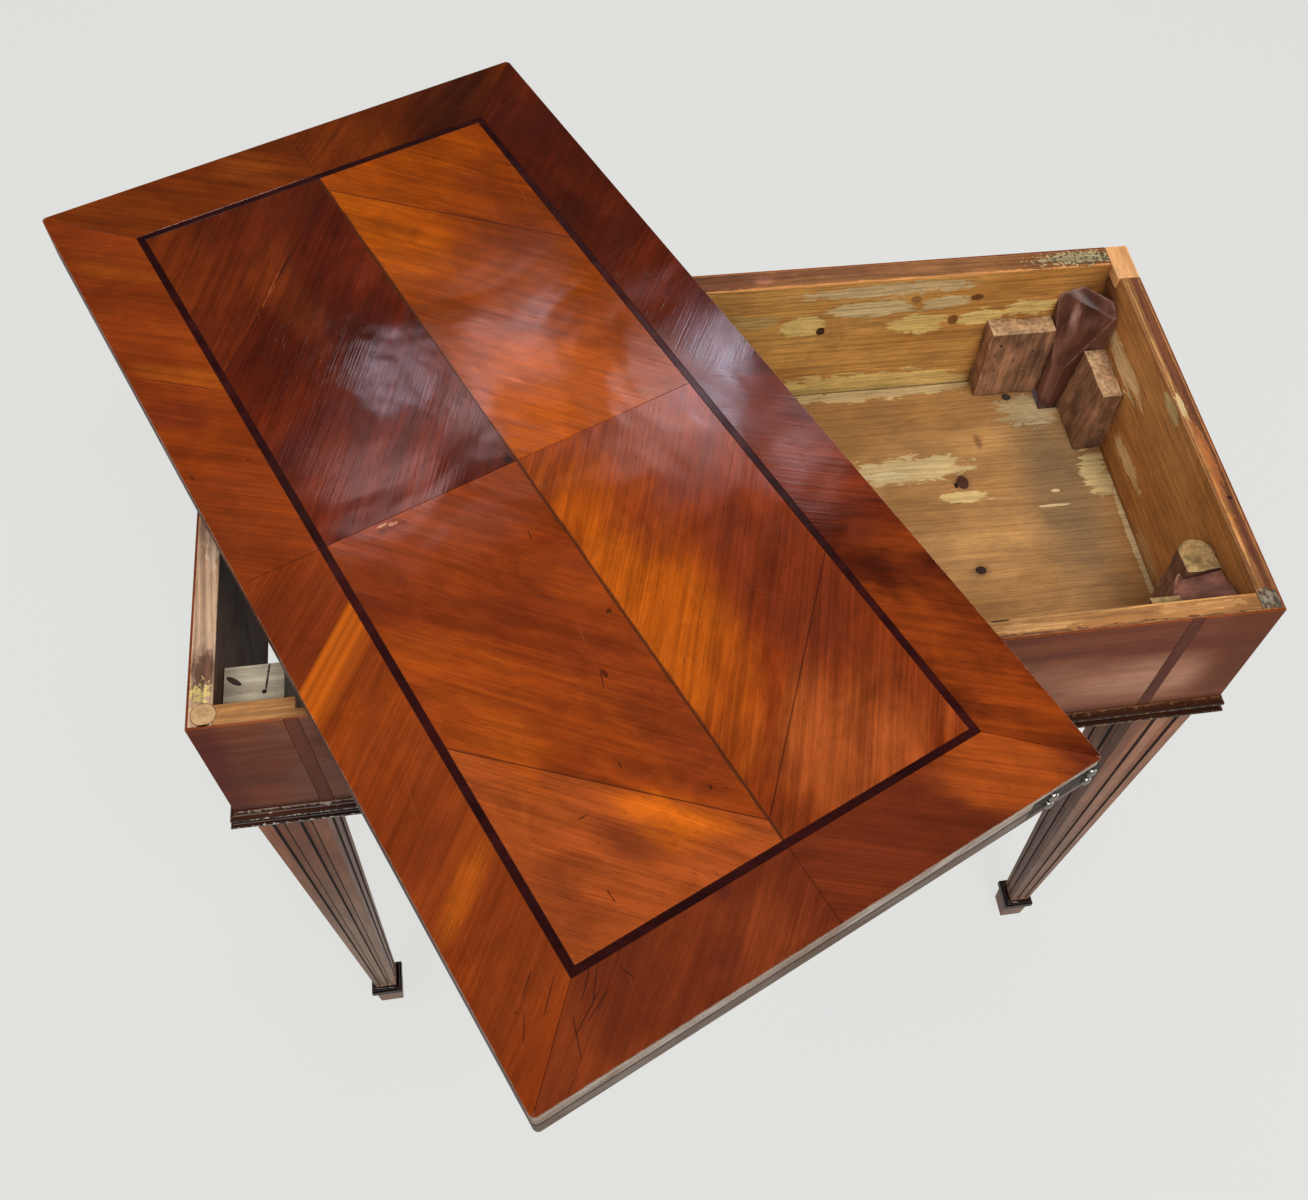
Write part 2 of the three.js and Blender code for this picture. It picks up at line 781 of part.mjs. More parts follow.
function stringing() {
  const line = block(
    [-fieldEnd - stringingWidth, fieldEnd + stringingWidth],
    [-fieldSide - stringingWidth, fieldSide + stringingWidth],
    [faceFoot, faceFoot + faceVeneer],
  );
  const field = block([-fieldEnd, fieldEnd], [-fieldSide, fieldSide], [
    faceFoot - overrun,
    faceFoot + overrun,
  ]);
  return cut(line, field);
}

function fieldQuarter(signX, signY) {
  return block(
    sided(signX, glueLine / 2, fieldEnd - glueLine),
    sided(signY, glueLine / 2, fieldSide - glueLine),
    [faceFoot, faceFoot + faceVeneer],
  );
}

// Assembly
const corners = [
  { corner: 'front_left', signX: -1, signY: -1, domed: false },
  { corner: 'front_right', signX: 1, signY: -1, domed: true },
  { corner: 'back_left', signX: -1, signY: 1, domed: true },
  { corner: 'back_right', signX: 1, signY: 1, domed: true },
];

function buildFrame() {
  const frame = new THREE.Group();
  frame.add(
    named('rail_front', frontRail(), finishes.pine()),
    named('rail_back', backRail(), finishes.pine()),
    named('rail_left', endRail(-1), finishes.agedPine()),
    named('rail_right', endRail(1), finishes.pine()),
    named('apron_veneer_front', longVeneer(-1), finishes.apron()),
    named('apron_veneer_back', longVeneer(1), finishes.apron()),
    named('apron_veneer_left', endVeneer(-1), finishes.apron()),
    named('apron_veneer_right', endVeneer(1), finishes.apron()),
    named('apron_band_left', apronBand(-1), finishes.stringing()),
    named('apron_band_right', apronBand(1), finishes.stringing()),
  );
  for (const { side, quarter } of rectangleSides) {
    const halfLength = frameEnd - apronVeneer;
    const halfWidth = frameSide - apronVeneer;
    const strip = rectangleStrip(mouldingSection(), quarter, halfLength, halfWidth, railFoot);
    frame.add(named(`apron_moulding_${side}`, strip, finishes.moulding()));
  }
  for (const { corner, signX, signY, domed } of corners) {
    frame.add(named(`leg_${corner}`, leg(signX, signY, domed), finishes.leg()));
    frame.add(named(`leg_collar_${corner}`, collar(signX, signY), finishes.moulding()));
  }
  frame.add(
    named('well_bottom', wellBottom(), finishes.pine()),
    named('well_partition', wellPartition(), finishes.pine()),
    named('pivot_rail', pivotRail(), finishes.agedPine()),
    named('glue_block_rear', rearBlock(), finishes.pine()),
    named('glue_block_end', endBlock(), finishes.pine()),
    named('glue_block_round', roundBlock(), finishes.pine()),
    named('glue_block_front', frontBlock(), finishes.pine()),
    named('rim_patch', patchBlock(0), finishes.freshWood()),
    named('corner_plug', plug(plugRadius, plugDepth, rimHeight), finishes.freshWood()),
  );
  return frame;
}

function buildPivot() {
  const pivot = new THREE.Group();
  pivot.position.set(pivotX, pivotY, 0);
  pivot.add(
    named('pivot_bolt', pivotBolt(), finishes.iron()),
    named('pivot_nut', pivotNut(), finishes.iron()),
  );
  return pivot;
}

function buildHingePlates(leafName, level) {
  const plates = new THREE.Group();
  for (const { endName, end } of [{ endName: 'left', end: -1 }, { endName: 'right', end: 1 }]) {
    const [near, far] = hingeScrewPlaces(end, level);
    plates.add(
      named(`hinge_plate_${leafName}_${endName}`, hingePlate(end, level), finishes.brass()),
      named(`hinge_screw_${leafName}_${endName}_near`, hingeScrew(near), finishes.brass()),
      named(`hinge_screw_${leafName}_${endName}_far`, hingeScrew(far), finishes.brass()),
    );
  }
  return plates;
}

function buildLowerLeaf() {
  const leaf = new THREE.Group();
  const clothTop = leafThickness;
  leaf.add(
    named('lower_leaf_core', lowerCore(), finishes.rosewood()),
    named('lower_leaf_baize', cloth(clothTop - baizeThickness, clothTop), finishes.baize()),
    named('hinge_pin_left', hingePin(-1), finishes.brass()),
    named('hinge_pin_right', hingePin(1), finishes.brass()),
    buildHingePlates('lower', -1),
    buildPivot(),
  );
  return leaf;
}

function buildUpperLeaf() {
  const leaf = new THREE.Group();
  leaf.add(
    named('upper_leaf_core', upperCore(), finishes.rosewood()),
    named('upper_leaf_baize', cloth(upperLeafFoot, upperLeafFoot + baizeThickness), finishes.baize()),
    named('stringing', stringing(), finishes.stringing()),
    buildHingePlates('upper', 1),
  );
  for (const { side, quarter } of rectangleSides) {
    leaf.add(named(`border_veneer_${side}`, borderPiece(quarter), finishes.border()));
  }
  for (const { corner, signX, signY } of corners) {
    const dark = signX === signY && signX < 0;
    const tone = dark ? finishes.darkField() : finishes.paleField();
    leaf.add(named(`field_veneer_${corner}`, fieldQuarter(signX, signY), tone));
  }
  return leaf;
}

function buildTable() {
  const table = new THREE.Group();
  const frame = buildFrame();
  const top = new THREE.Group();
  top.position.set(-pivotX, -pivotY, 0);
  top.add(buildLowerLeaf(), buildUpperLeaf());
  const swivel = new THREE.Group();
  swivel.position.set(pivotX, pivotY, topFoot);
  swivel.rotation.z = -turn;
  swivel.add(top);
  table.add(frame, swivel);
  // The origin is put under the middle of the table's box
  const extent = new THREE.Box3().setFromObject(table, true);
  const middle = extent.getCenter(new THREE.Vector3());
  table.position.set(-middle.x, -middle.y, 0);
  return table;
}

export default buildTable();
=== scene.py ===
"""Dresses the fold-over games table: shapes, finishes, lights and the camera.

Everything is in metres, in the table's own frame: +Z up, -Y towards the front, the
origin on the floor under the middle of the table's box. The top is built in the leaf's
own plan, in which u runs along its length and w across it, and is then turned to where
it stands on the swivel.
"""

import json
import logging
import math
from dataclasses import dataclass, field
from enum import Enum
from typing import Callable, Optional, Sequence, Union

import bmesh
import bpy
from mathutils import Matrix, Vector, noise


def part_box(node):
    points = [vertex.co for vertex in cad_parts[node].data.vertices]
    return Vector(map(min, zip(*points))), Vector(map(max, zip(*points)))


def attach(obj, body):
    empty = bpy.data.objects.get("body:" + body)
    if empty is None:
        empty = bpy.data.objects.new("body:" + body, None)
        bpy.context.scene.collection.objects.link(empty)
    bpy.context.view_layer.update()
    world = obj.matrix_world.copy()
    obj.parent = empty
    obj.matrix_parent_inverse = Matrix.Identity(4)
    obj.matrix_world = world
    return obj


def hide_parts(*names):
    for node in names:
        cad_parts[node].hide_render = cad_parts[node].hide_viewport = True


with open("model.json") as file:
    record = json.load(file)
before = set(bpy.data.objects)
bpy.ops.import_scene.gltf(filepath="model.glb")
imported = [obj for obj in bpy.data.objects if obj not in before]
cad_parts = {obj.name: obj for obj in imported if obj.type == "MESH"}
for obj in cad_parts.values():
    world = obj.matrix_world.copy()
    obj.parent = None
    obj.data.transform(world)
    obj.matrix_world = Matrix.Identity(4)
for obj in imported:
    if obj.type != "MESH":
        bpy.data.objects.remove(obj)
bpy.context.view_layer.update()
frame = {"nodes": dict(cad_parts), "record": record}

log = logging.getLogger("games_table")

Colour = tuple[float, float, float, float]
Socket = bpy.types.NodeSocket
Input = Union[Socket, float, Sequence[float]]


def tone(red: int, green: int, blue: int) -> Colour:
    """Gives a colour, as seen on a screen from 0 to 255, as linear light.

    Args:
        red: Red, from 0 to 255.
        green: Green, from 0 to 255.
        blue: Blue, from 0 to 255.

    Returns:
        The colour as four linear values.
    """
    def linear(value: int) -> float:
        """Turns one channel into linear light."""
        share = value / 255
        return share / 12.92 if share <= 0.04045 else ((share + 0.055) / 1.055) ** 2.4

    return (linear(red), linear(green), linear(blue), 1.0)


class Body(Enum):
    """The bodies that the pieces ride on."""

    FRAME = "frame"
    LOWER_LEAF = "lower_leaf"
    UPPER_LEAF = "upper_leaf"


class GrainAxis(Enum):
    """The direction that a board's grain runs in, as a turn that brings it to X."""

    X = (0.0, 0.0, 0.0)
    Y = (0.0, 0.0, -math.pi / 2)
    Z = (0.0, math.pi / 2, 0.0)


class VeneerPlace(Enum):
    """The part of the top that a veneer covers."""

    FIELD = "field"
    LONG_BORDER = "long border"
    SHORT_BORDER = "short border"


@dataclass(frozen=True)
class Corner:
    """One corner of the table's frame.

    Attributes:
        name: The corner's name in the CAD nodes.
        side_x: -1 on the left, 1 on the right.
        side_y: -1 in front, 1 at the back.
    """

    name: str
    side_x: int
    side_y: int


CORNERS = (
    Corner("front_left", -1, -1),
    Corner("front_right", 1, -1),
    Corner("back_left", -1, 1),
    Corner("back_right", 1, 1),
)


# Places


@dataclass(frozen=True)
class Plan:
    """Where the frame and the leaves stand.

    Attributes:
        frame_middle: The middle of the frame, on the floor.
        pivot: The swivel's place on the underside of the top.
        pivot_in_leaf: The same place in the leaf's own plan.
        turn: The leaf's turn from closed, in radians.
        rim: Height of the frame's rim.
    """

    frame_middle: Vector
    pivot: Vector
    pivot_in_leaf: Vector
    turn: float
    rim: float

    @classmethod
    def from_frame(cls) -> "Plan":
        """Reads the places from the CAD nodes and joints.

        Returns:
            The plan.
        """
        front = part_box("apron_veneer_front")
        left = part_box("apron_veneer_left")
        middle = Vector(((front[0].x + front[1].x) / 2, (left[0].y + left[1].y) / 2, 0.0))
        swivel = next(j for j in frame["record"]["behaviour"]["joints"] if j["name"] == "top_swivel")
        pivot = Vector(swivel["pos_m"])
        in_leaf = Vector((pivot.x - middle.x, pivot.y - middle.y, 0.0))
        closed = math.radians(swivel["range_deg"][1])
        return cls(middle, pivot, in_leaf, -closed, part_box("rail_front")[1].z)

    def leaf_matrix(self) -> Matrix:
        """Brings the leaf's own plan to its place on the swivel."""
        turned = Matrix.Rotation(self.turn, 4, "Z")
        return Matrix.Translation(self.pivot) @ turned @ Matrix.Translation(-self.pivot_in_leaf)

    def point(self, x: float, y: float, drop: float) -> tuple[float, float, float]:
        """Gives a point of the frame's own plan, with its depth below the rim, in the table's frame."""
        return (x + self.frame_middle.x, y + self.frame_middle.y, self.rim - drop)


PLAN = Plan.from_frame()


# Mesh work

WELD = 2e-5  # vertices of a CAD node that are closer than this are one
FLAT = math.radians(0.5)  # lines between faces that turn less than this are dropped
CREASE = math.radians(38.0)  # edges sharper than this keep their crease in the shading
TOUCH = 1e-4  # what is closer than this to a face lies on it


def copy_of(node: str) -> bmesh.types.BMesh:
    """Copies a CAD node's mesh, merged and freed of the lines across its flat faces.

    Args:
        node: The node's name.

    Returns:
        The copy, in the row's frame.
    """
    bm = bmesh.new()
    bm.from_mesh(frame["nodes"][node].data)
    bmesh.ops.remove_doubles(bm, verts=bm.verts, dist=WELD)
    bmesh.ops.dissolve_limit(bm, angle_limit=FLAT, verts=bm.verts, edges=bm.edges)
    return bm


def all_of(bm: bmesh.types.BMesh) -> list:
    """Lists all the vertices, edges and faces of a mesh."""
    return bm.verts[:] + bm.edges[:] + bm.faces[:]


def slice_mesh(bm: bmesh.types.BMesh, axis: int, step: float) -> None:
    """Cuts a mesh across one axis at even steps, so that its edges can waver.

    Args:
        bm: The mesh to cut.
        axis: 0, 1 or 2 for X, Y or Z.
        step: The distance between cuts.
    """
    places = [v.co[axis] for v in bm.verts]
    low, high = min(places), max(places)
    count = max(1, round((high - low) / step))
    across = Vector((0.0, 0.0, 0.0))
    across[axis] = 1.0
    for index in range(1, count):
        at = across * (low + (high - low) * index / count)
        bmesh.ops.bisect_plane(bm, geom=all_of(bm), plane_co=at, plane_no=across)


def soften(
    bm: bmesh.types.BMesh,
    radius: float,
    segments: int = 2,
    sharper_than: float = 35.0,
    wanted: Optional[Callable[[bmesh.types.BMEdge], bool]] = None,
) -> None:
    """Rounds a mesh's sharp edges.

    Args:
        bm: The mesh to round.
        radius: How far the rounding reaches from each edge.
        segments: The number of facets round each edge.
        sharper_than: The least angle in degrees at an edge that is rounded.
        wanted: A further test that an edge has to pass.
    """
    limit = math.radians(sharper_than)
    edges = [e for e in bm.edges if e.is_manifold and e.calc_face_angle(0.0) > limit]
    if wanted is not None:
        edges = [e for e in edges if wanted(e)]
    if edges:
        bmesh.ops.bevel(
            bm, geom=edges, offset=radius, offset_type="OFFSET", segments=segments, profile=0.5,
            affect="EDGES", clamp_overlap=True, material=-1,
        )


def waver(bm: bmesh.types.BMesh, amount: float, size: float, seed: float) -> None:
    """Shifts each vertex a little, as hand-worked and worn wood has it.

    Args:
        bm: The mesh to shift.
        amount: The largest shift.
        size: The length over which the shift changes.
        seed: Picks one of many patterns.
    """
    noise.seed_set(1)  # without it the pattern would follow the clock
    offset = Vector((seed * 3.1, seed * 7.7, seed * 1.3))
    for vert in bm.verts:
        vert.co += noise.noise_vector(vert.co / size + offset) * amount


def settle(
    bm: bmesh.types.BMesh,
    node: str,
    body: Body,
    materials: Sequence[bpy.types.Material],
    matrix: Optional[Matrix] = None,
    weighted: bool = True,
) -> bpy.types.Object:
    """Makes a finished mesh a piece of the table, with its sharpest edges left sharp in the shading.

    Args:
        bm: The mesh, which is freed.
        node: The CAD node that the piece replaces.
        body: The body that the piece rides on.
        materials: The piece's finishes, in the order of its faces' material numbers.
        matrix: Brings the mesh from its own plan to its place.
        weighted: Whether large faces decide the shading at their edges.

    Returns:
        The new object.
    """
    if matrix is not None:
        bm.transform(matrix)
    for face in bm.faces:
        face.smooth = True
    for edge in bm.edges:
        edge.smooth = edge.is_manifold and edge.calc_face_angle(0.0) < CREASE
    name = f"{node}_piece"
    mesh = bpy.data.meshes.new(name)
    bm.to_mesh(mesh)
    bm.free()
    for material in materials:
        mesh.materials.append(material)
    piece = bpy.data.objects.new(name, mesh)
    bpy.context.scene.collection.objects.link(piece)
    if weighted:
        shading = piece.modifiers.new("even shading", "WEIGHTED_NORMAL")
        shading.keep_sharp = True
        shading.weight = 80
    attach(piece, body.value)
    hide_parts(node)
    log.info("%s: %d faces", name, len(mesh.polygons))
    return piece


# Finishes


class Recipe:
    """Adds nodes to one node tree and joins them."""

    def __init__(self, tree: bpy.types.NodeTree) -> None:
        """Starts on an empty tree.

        Args:
            tree: The material's or the group's node tree.
        """
        self.tree = tree
        self.tree.nodes.clear()

    def node(self, kind: str, **settings: object) -> bpy.types.Node:
        """Adds a node.

        Args:
            kind: The node's type.
            **settings: Its properties' values.

        Returns:
            The node.
        """
        made = self.tree.nodes.new(kind)
        for key, value in settings.items():
            setattr(made, key, value)
        return made

    def feed(self, socket: Socket, value: Input) -> None:
        """Joins a socket to another one, or gives it a fixed value.

        Args:
            socket: The input socket.
            value: An output socket, a number or several numbers.
        """
        if isinstance(value, bpy.types.NodeSocket):
            self.tree.links.new(value, socket)
        elif isinstance(value, (int, float)):
            socket.default_value = float(value)
        else:
            socket.default_value = tuple(value)

    def output(
        self, kind: str, inputs: dict[Union[int, str], Input], place: int = 0, **settings: object
    ) -> Socket:
        """Adds a node, feeds it and gives one of its outputs.

        Args:
            kind: The node's type.
            inputs: What its inputs get, by their places or names.
            place: The output's place.
            **settings: Its properties' values.

        Returns:
            The output.
        """
        made = self.node(kind, **settings)
        for key, value in inputs.items():
            self.feed(made.inputs[key], value)
        return made.outputs[place]

    def math(self, operation: str, first: Input, second: Input = 0.0, clamp: bool = False) -> Socket:
        """Works out a number from one or two others."""
        return self.output("ShaderNodeMath", {0: first, 1: second}, operation=operation, use_clamp=clamp)

    def times(self, first: Input, second: Input) -> Socket:
        """Multiplies two numbers."""
        return self.math("MULTIPLY", first, second)

    def plus(self, first: Input, second: Input) -> Socket:
        """Adds two numbers."""
        return self.math("ADD", first, second)

    def less(self, first: Input, second: Input) -> Socket:
        """Takes the second number from the first."""
        return self.math("SUBTRACT", first, second)

    def vector_math(self, operation: str, first: Input, second: Input = (0.0, 0.0, 0.0)) -> Socket:
        """Works out a vector, or for a length or a dot product a number."""
        place = 1 if operation in ("LENGTH", "DOT_PRODUCT") else 0
        return self.output("ShaderNodeVectorMath", {0: first, 1: second}, place, operation=operation)

    def scaled(self, vector: Input, factors: Sequence[float]) -> Socket:
        """Multiplies a vector's parts by three factors."""
        return self.vector_math("MULTIPLY", vector, factors)

    def parts(self, vector: Input) -> tuple[Socket, Socket, Socket]:
        """Splits a vector into its three numbers."""
        made = self.output("ShaderNodeSeparateXYZ", {0: vector}).node
        return made.outputs[0], made.outputs[1], made.outputs[2]

    def joined(self, x: Input, y: Input, z: Input) -> Socket:
        """Makes a vector of three numbers."""
        return self.output("ShaderNodeCombineXYZ", {0: x, 1: y, 2: z})

    def placed(
        self, vector: Input, shift: Sequence[float] = (0, 0, 0), turn: Sequence[float] = (0, 0, 0)
    ) -> Socket:
        """Turns a pattern's coordinates and shifts them."""
        values = {"Vector": vector, "Location": shift, "Rotation": turn}
        return self.output("ShaderNodeMapping", values, vector_type="POINT")

    def cloud(
        self, vector: Input, scale: float, detail: float = 2.0, rough: float = 0.5, warp: float = 0.0
    ) -> Socket:
        """Gives smooth noise from 0 to 1."""
        values = {"Vector": vector, "Scale": scale, "Detail": detail, "Roughness": rough, "Distortion": warp}
        return self.output("ShaderNodeTexNoise", values)

    def drawn(
        self, vector: Input, rates: Sequence[float], detail: float = 2.0, rough: float = 0.5,
        warp: float = 0.0
    ) -> Socket:
        """Gives smooth noise from 0 to 1 that changes at its own rate along each axis."""
        return self.cloud(self.scaled(vector, rates), 1.0, detail, rough, warp)

    def spread(
        self, value: Input, low: float, high: float, to_low: float = 0.0, to_high: float = 1.0
    ) -> Socket:
        """Stretches a range of numbers to another one, clamped, with a soft start and end."""
        values = {"Value": value, "From Min": low, "From Max": high, "To Min": to_low, "To Max": to_high}
        return self.output("ShaderNodeMapRange", values, interpolation_type="SMOOTHSTEP")

    def mix(self, share: Input, first: Input, second: Input, blend: str = "MIX") -> Socket:
        """Mixes two colours."""
        values = {0: share, 6: first, 7: second}
        return self.output("ShaderNodeMix", values, 2, data_type="RGBA", blend_type=blend, clamp_factor=True)

    def laid(self, colour: Input, mask: Input, strength: Input, over: Input) -> Socket:
        """Lays a colour over another one where a mask is 1, as strongly as told."""
        return self.mix(self.times(mask, strength), colour, over)

    def shaded(
        self, colour: Input, value: Input, dark: float, light: float, low: float = 0.3, high: float = 0.7
    ) -> Socket:
        """Darkens and lightens a colour with a number.

        Args:
            colour: The colour.
            value: The number.
            dark: What the colour is multiplied by where the number is low.
            light: What the colour is multiplied by where the number is high.
            low: The number that counts as low.
            high: The number that counts as high.

        Returns:
            The colour.
        """
        return self.mix(1.0, colour, self.spread(value, low, high, dark, light), "MULTIPLY")

    def ramp(self, value: Input, stops: Sequence[tuple[float, Colour]]) -> Socket:
        """Gives a colour that changes with a number.

        Args:
            value: The number.
            stops: Two or more numbers, each with its colour.

        Returns:
            The colour.
        """
        made = self.node("ShaderNodeValToRGB")
        self.feed(made.inputs[0], value)
        elements = made.color_ramp.elements
        while len(elements) < len(stops):
            elements.new(0.5)
        for element, (place, colour) in zip(elements, stops):
            element.position = place
            element.color = colour
        return made.outputs[0]

    def bump(self, height: Input, depth: float, below: Optional[Socket] = None) -> Socket:
        """Gives the normal of a surface with small heights and hollows.

        Args:
            height: The height, mostly from 0 to 1.
            depth: The height's size in metres.
            below: The normal that the heights are laid over.

        Returns:
            The new normal.
        """
        made = self.node("ShaderNodeBump")
        made.inputs["Strength"].default_value = 1.0
        made.inputs["Distance"].default_value = depth
        self.feed(made.inputs["Height"], height)
        if below is not None:
            self.feed(made.inputs["Normal"], below)
        return made.outputs[0]

    def effect(self, group: bpy.types.NodeTree, **inputs: Input) -> dict[str, Socket]:
        """Places a shared effect.

        Args:
            group: The effect.
            **inputs: What its inputs get, whose names have _ for a space.

        Returns:
            Its outputs by name.
        """
        made = self.node("ShaderNodeGroup", node_tree=group)
        for key, value in inputs.items():
            self.feed(made.inputs[key.replace("_", " ")], value)
        return {socket.name: socket for socket in made.outputs}


class Effects:
    """The effects that several finishes share, each a node group made once."""

    def __init__(self) -> None:
        """Makes the groups."""
        self.grain = self._grain()
        self.worn_edges = self._worn_edges()
        self.scratches = self._scratches()
        self.grime = self._grime()
        self.mark = self._mark()
        self.hollows = self._hollow_shade_and_dirt()

    @staticmethod
    def _open(
        name: str, inputs: Sequence[tuple[str, str, Input]], outputs: Sequence[str]
    ) -> tuple[Recipe, dict[str, Socket]]:
        """Starts a node group.

        Args:
            name: The group's name.
            inputs: Each input's name, socket type and value.
            outputs: The names of the outputs, all numbers.

        Returns:
            The recipe for its tree, and its inputs by name.
        """
        tree = bpy.data.node_groups.new(name, "ShaderNodeTree")
        for label, kind, value in inputs:
            socket = tree.interface.new_socket(label, in_out="INPUT", socket_type=kind)
            socket.default_value = value
        for label in outputs:
            tree.interface.new_socket(label, in_out="OUTPUT", socket_type="NodeSocketFloat")
        recipe = Recipe(tree)
        sockets = recipe.node("NodeGroupInput").outputs
        return recipe, {socket.name: socket for socket in sockets if socket.name}

    @staticmethod
    def _close(recipe: Recipe, **outputs: Input) -> bpy.types.NodeTree:
        """Ends a node group.

        Args:
            recipe: The recipe for its tree.
            **outputs: What its outputs get, whose names have _ for a space.

        Returns:
            The group.
        """
        out = recipe.node("NodeGroupOutput")
        for key, value in outputs.items():
            recipe.feed(out.inputs[key.replace("_", " ")], value)
        return recipe.tree

    def _grain(self) -> bpy.types.NodeTree:
        """Makes wood grain that runs along X: lines, streaks, pores, rings and the figure across them.

        Returns:
            The group.
        """
        recipe, given = self._open(
            "Wood grain",
            [
                ("Vector", "NodeSocketVector", (0.0, 0.0, 0.0)),
                ("Lines per metre", "NodeSocketFloat", 500.0),
                ("Sway", "NodeSocketFloat", 0.01),
            ],
            ["Lines", "Streaks", "Pores", "Rings", "Ribbon", "Mottle"],
        )
        vector = given["Vector"]
        sway = recipe.drawn(vector, (3.0, 9.0, 9.0), 3.0, 0.55)
        x, y, z = recipe.parts(vector)
        across = recipe.plus(y, recipe.times(recipe.less(sway, 0.5), given["Sway"]))
        swayed = recipe.joined(x, across, z)
        rate = given["Lines per metre"]
        fine = recipe.joined(recipe.times(x, 5.0), recipe.times(across, rate), recipe.times(z, rate))
        lines = recipe.spread(recipe.cloud(fine, 1.0, 3.0, 0.6), 0.35, 0.68)
        streaks = recipe.spread(recipe.drawn(swayed, (1.6, 34.0, 34.0), 4.0, 0.6), 0.28, 0.72)
        short = recipe.scaled(swayed, (90.0, 1300.0, 1300.0))
        pores = recipe.spread(recipe.cloud(short, 1.0, 1.0, 0.5), 0.66, 0.78)
        bend = recipe.drawn(vector, (2.2, 7.0, 7.0), 2.0, 0.5)
        turns = recipe.plus(recipe.times(y, 900.0), recipe.times(bend, 95.0))
        rings = recipe.spread(recipe.math("SINE", turns), 0.1, 1.0)
        ribbon = recipe.drawn(vector, (8.0, 90.0, 90.0), 5.0, 0.62, 0.5)
        mottle = recipe.drawn(vector, (26.0, 46.0, 46.0), 6.0, 0.66, 0.8)
        return self._close(
            recipe, Lines=lines, Streaks=streaks, Pores=pores, Rings=rings, Ribbon=ribbon, Mottle=mottle,
        )

    def _worn_edges(self) -> bpy.types.NodeTree:
        """Makes a mask that is 1 along worn edges.

        Returns:
            The group.
        """
        recipe, given = self._open(
            "Worn edges",
            [
                ("Vector", "NodeSocketVector", (0.0, 0.0, 0.0)),
                ("Width", "NodeSocketFloat", 0.0015),
                ("Breakup", "NodeSocketFloat", 0.5),
            ],
            ["Mask"],
        )
        rounded = recipe.node("ShaderNodeBevel", samples=6)
        recipe.feed(rounded.inputs["Radius"], given["Width"])
        plain = recipe.node("ShaderNodeNewGeometry")
        alike = recipe.vector_math("DOT_PRODUCT", rounded.outputs[0], plain.outputs["Normal"])
        edge = recipe.spread(recipe.less(1.0, alike), 0.01, 0.16)
        broken = recipe.cloud(given["Vector"], 140.0, 4.0, 0.65)
        kept = recipe.less(1.0, recipe.times(given["Breakup"], recipe.spread(broken, 0.35, 0.62)))
        return self._close(recipe, Mask=recipe.math("MULTIPLY", edge, kept, clamp=True))

    def _scratches(self) -> bpy.types.NodeTree:
        """Makes a mask of fine scratches that lie in several directions.

        Returns:
            The group.
        """
        recipe, given = self._open(
            "Scratches",
            [("Vector", "NodeSocketVector", (0.0, 0.0, 0.0)), ("Amount", "NodeSocketFloat", 0.5)],
            ["Mask"],
        )
        total: Input = 0.0
        for index, degrees in enumerate((12.0, 71.0, 139.0)):
            turned = recipe.placed(
                given["Vector"], (index * 0.7, 0.0, 0.0), (0.0, 0.0, math.radians(degrees)),
            )
            lines = recipe.drawn(turned, (9.0, 900.0, 9.0), 1.0, 0.4, 0.15)
            zone = recipe.spread(recipe.cloud(turned, 7.0, 2.0), 0.45, 0.62)
            thin = recipe.spread(lines, 0.73, 0.77)
            total = recipe.math("MAXIMUM", total, recipe.times(thin, zone))
        return self._close(recipe, Mask=recipe.math("MULTIPLY", total, given["Amount"], clamp=True))

    def _grime(self) -> bpy.types.NodeTree:
        """Makes blotches: smears of wax and dirt, and small specks.

        Returns:
            The group.
        """
        recipe, given = self._open(
            "Grime",
            [("Vector", "NodeSocketVector", (0.0, 0.0, 0.0)), ("Scale", "NodeSocketFloat", 14.0)],
            ["Smears", "Specks"],
        )
        scaled = recipe.node("ShaderNodeVectorMath", operation="SCALE")
        recipe.feed(scaled.inputs[0], given["Vector"])
        recipe.feed(scaled.inputs["Scale"], given["Scale"])
        smears = recipe.spread(recipe.cloud(scaled.outputs[0], 1.0, 5.0, 0.62, 0.6), 0.36, 0.68)
        specks = recipe.spread(recipe.cloud(scaled.outputs[0], 19.0, 2.0, 0.5), 0.70, 0.78)
        return self._close(recipe, Smears=smears, Specks=specks)

    def _hollow_shade_and_dirt(self) -> bpy.types.NodeTree:
        """Makes a mask that is 1 where a point is closed in: painted shade and dirt in corners and hollows.

        Returns:
            The group.
        """
        recipe, given = self._open(
            "Shade and dirt in hollows",
            [("Tear", "NodeSocketFloat", 0.5), ("Distance", "NodeSocketFloat", 0.035)],
            ["Mask"],
        )
        closed = recipe.node("ShaderNodeAmbientOcclusion", samples=6)
        recipe.feed(closed.inputs["Distance"], given["Distance"])
        torn = recipe.times(recipe.less(given["Tear"], 0.5), 0.7)
        return self._close(
            recipe, Mask=recipe.spread(recipe.plus(closed.outputs["AO"], torn), 0.3, 0.75, 1.0, 0.0),
        )

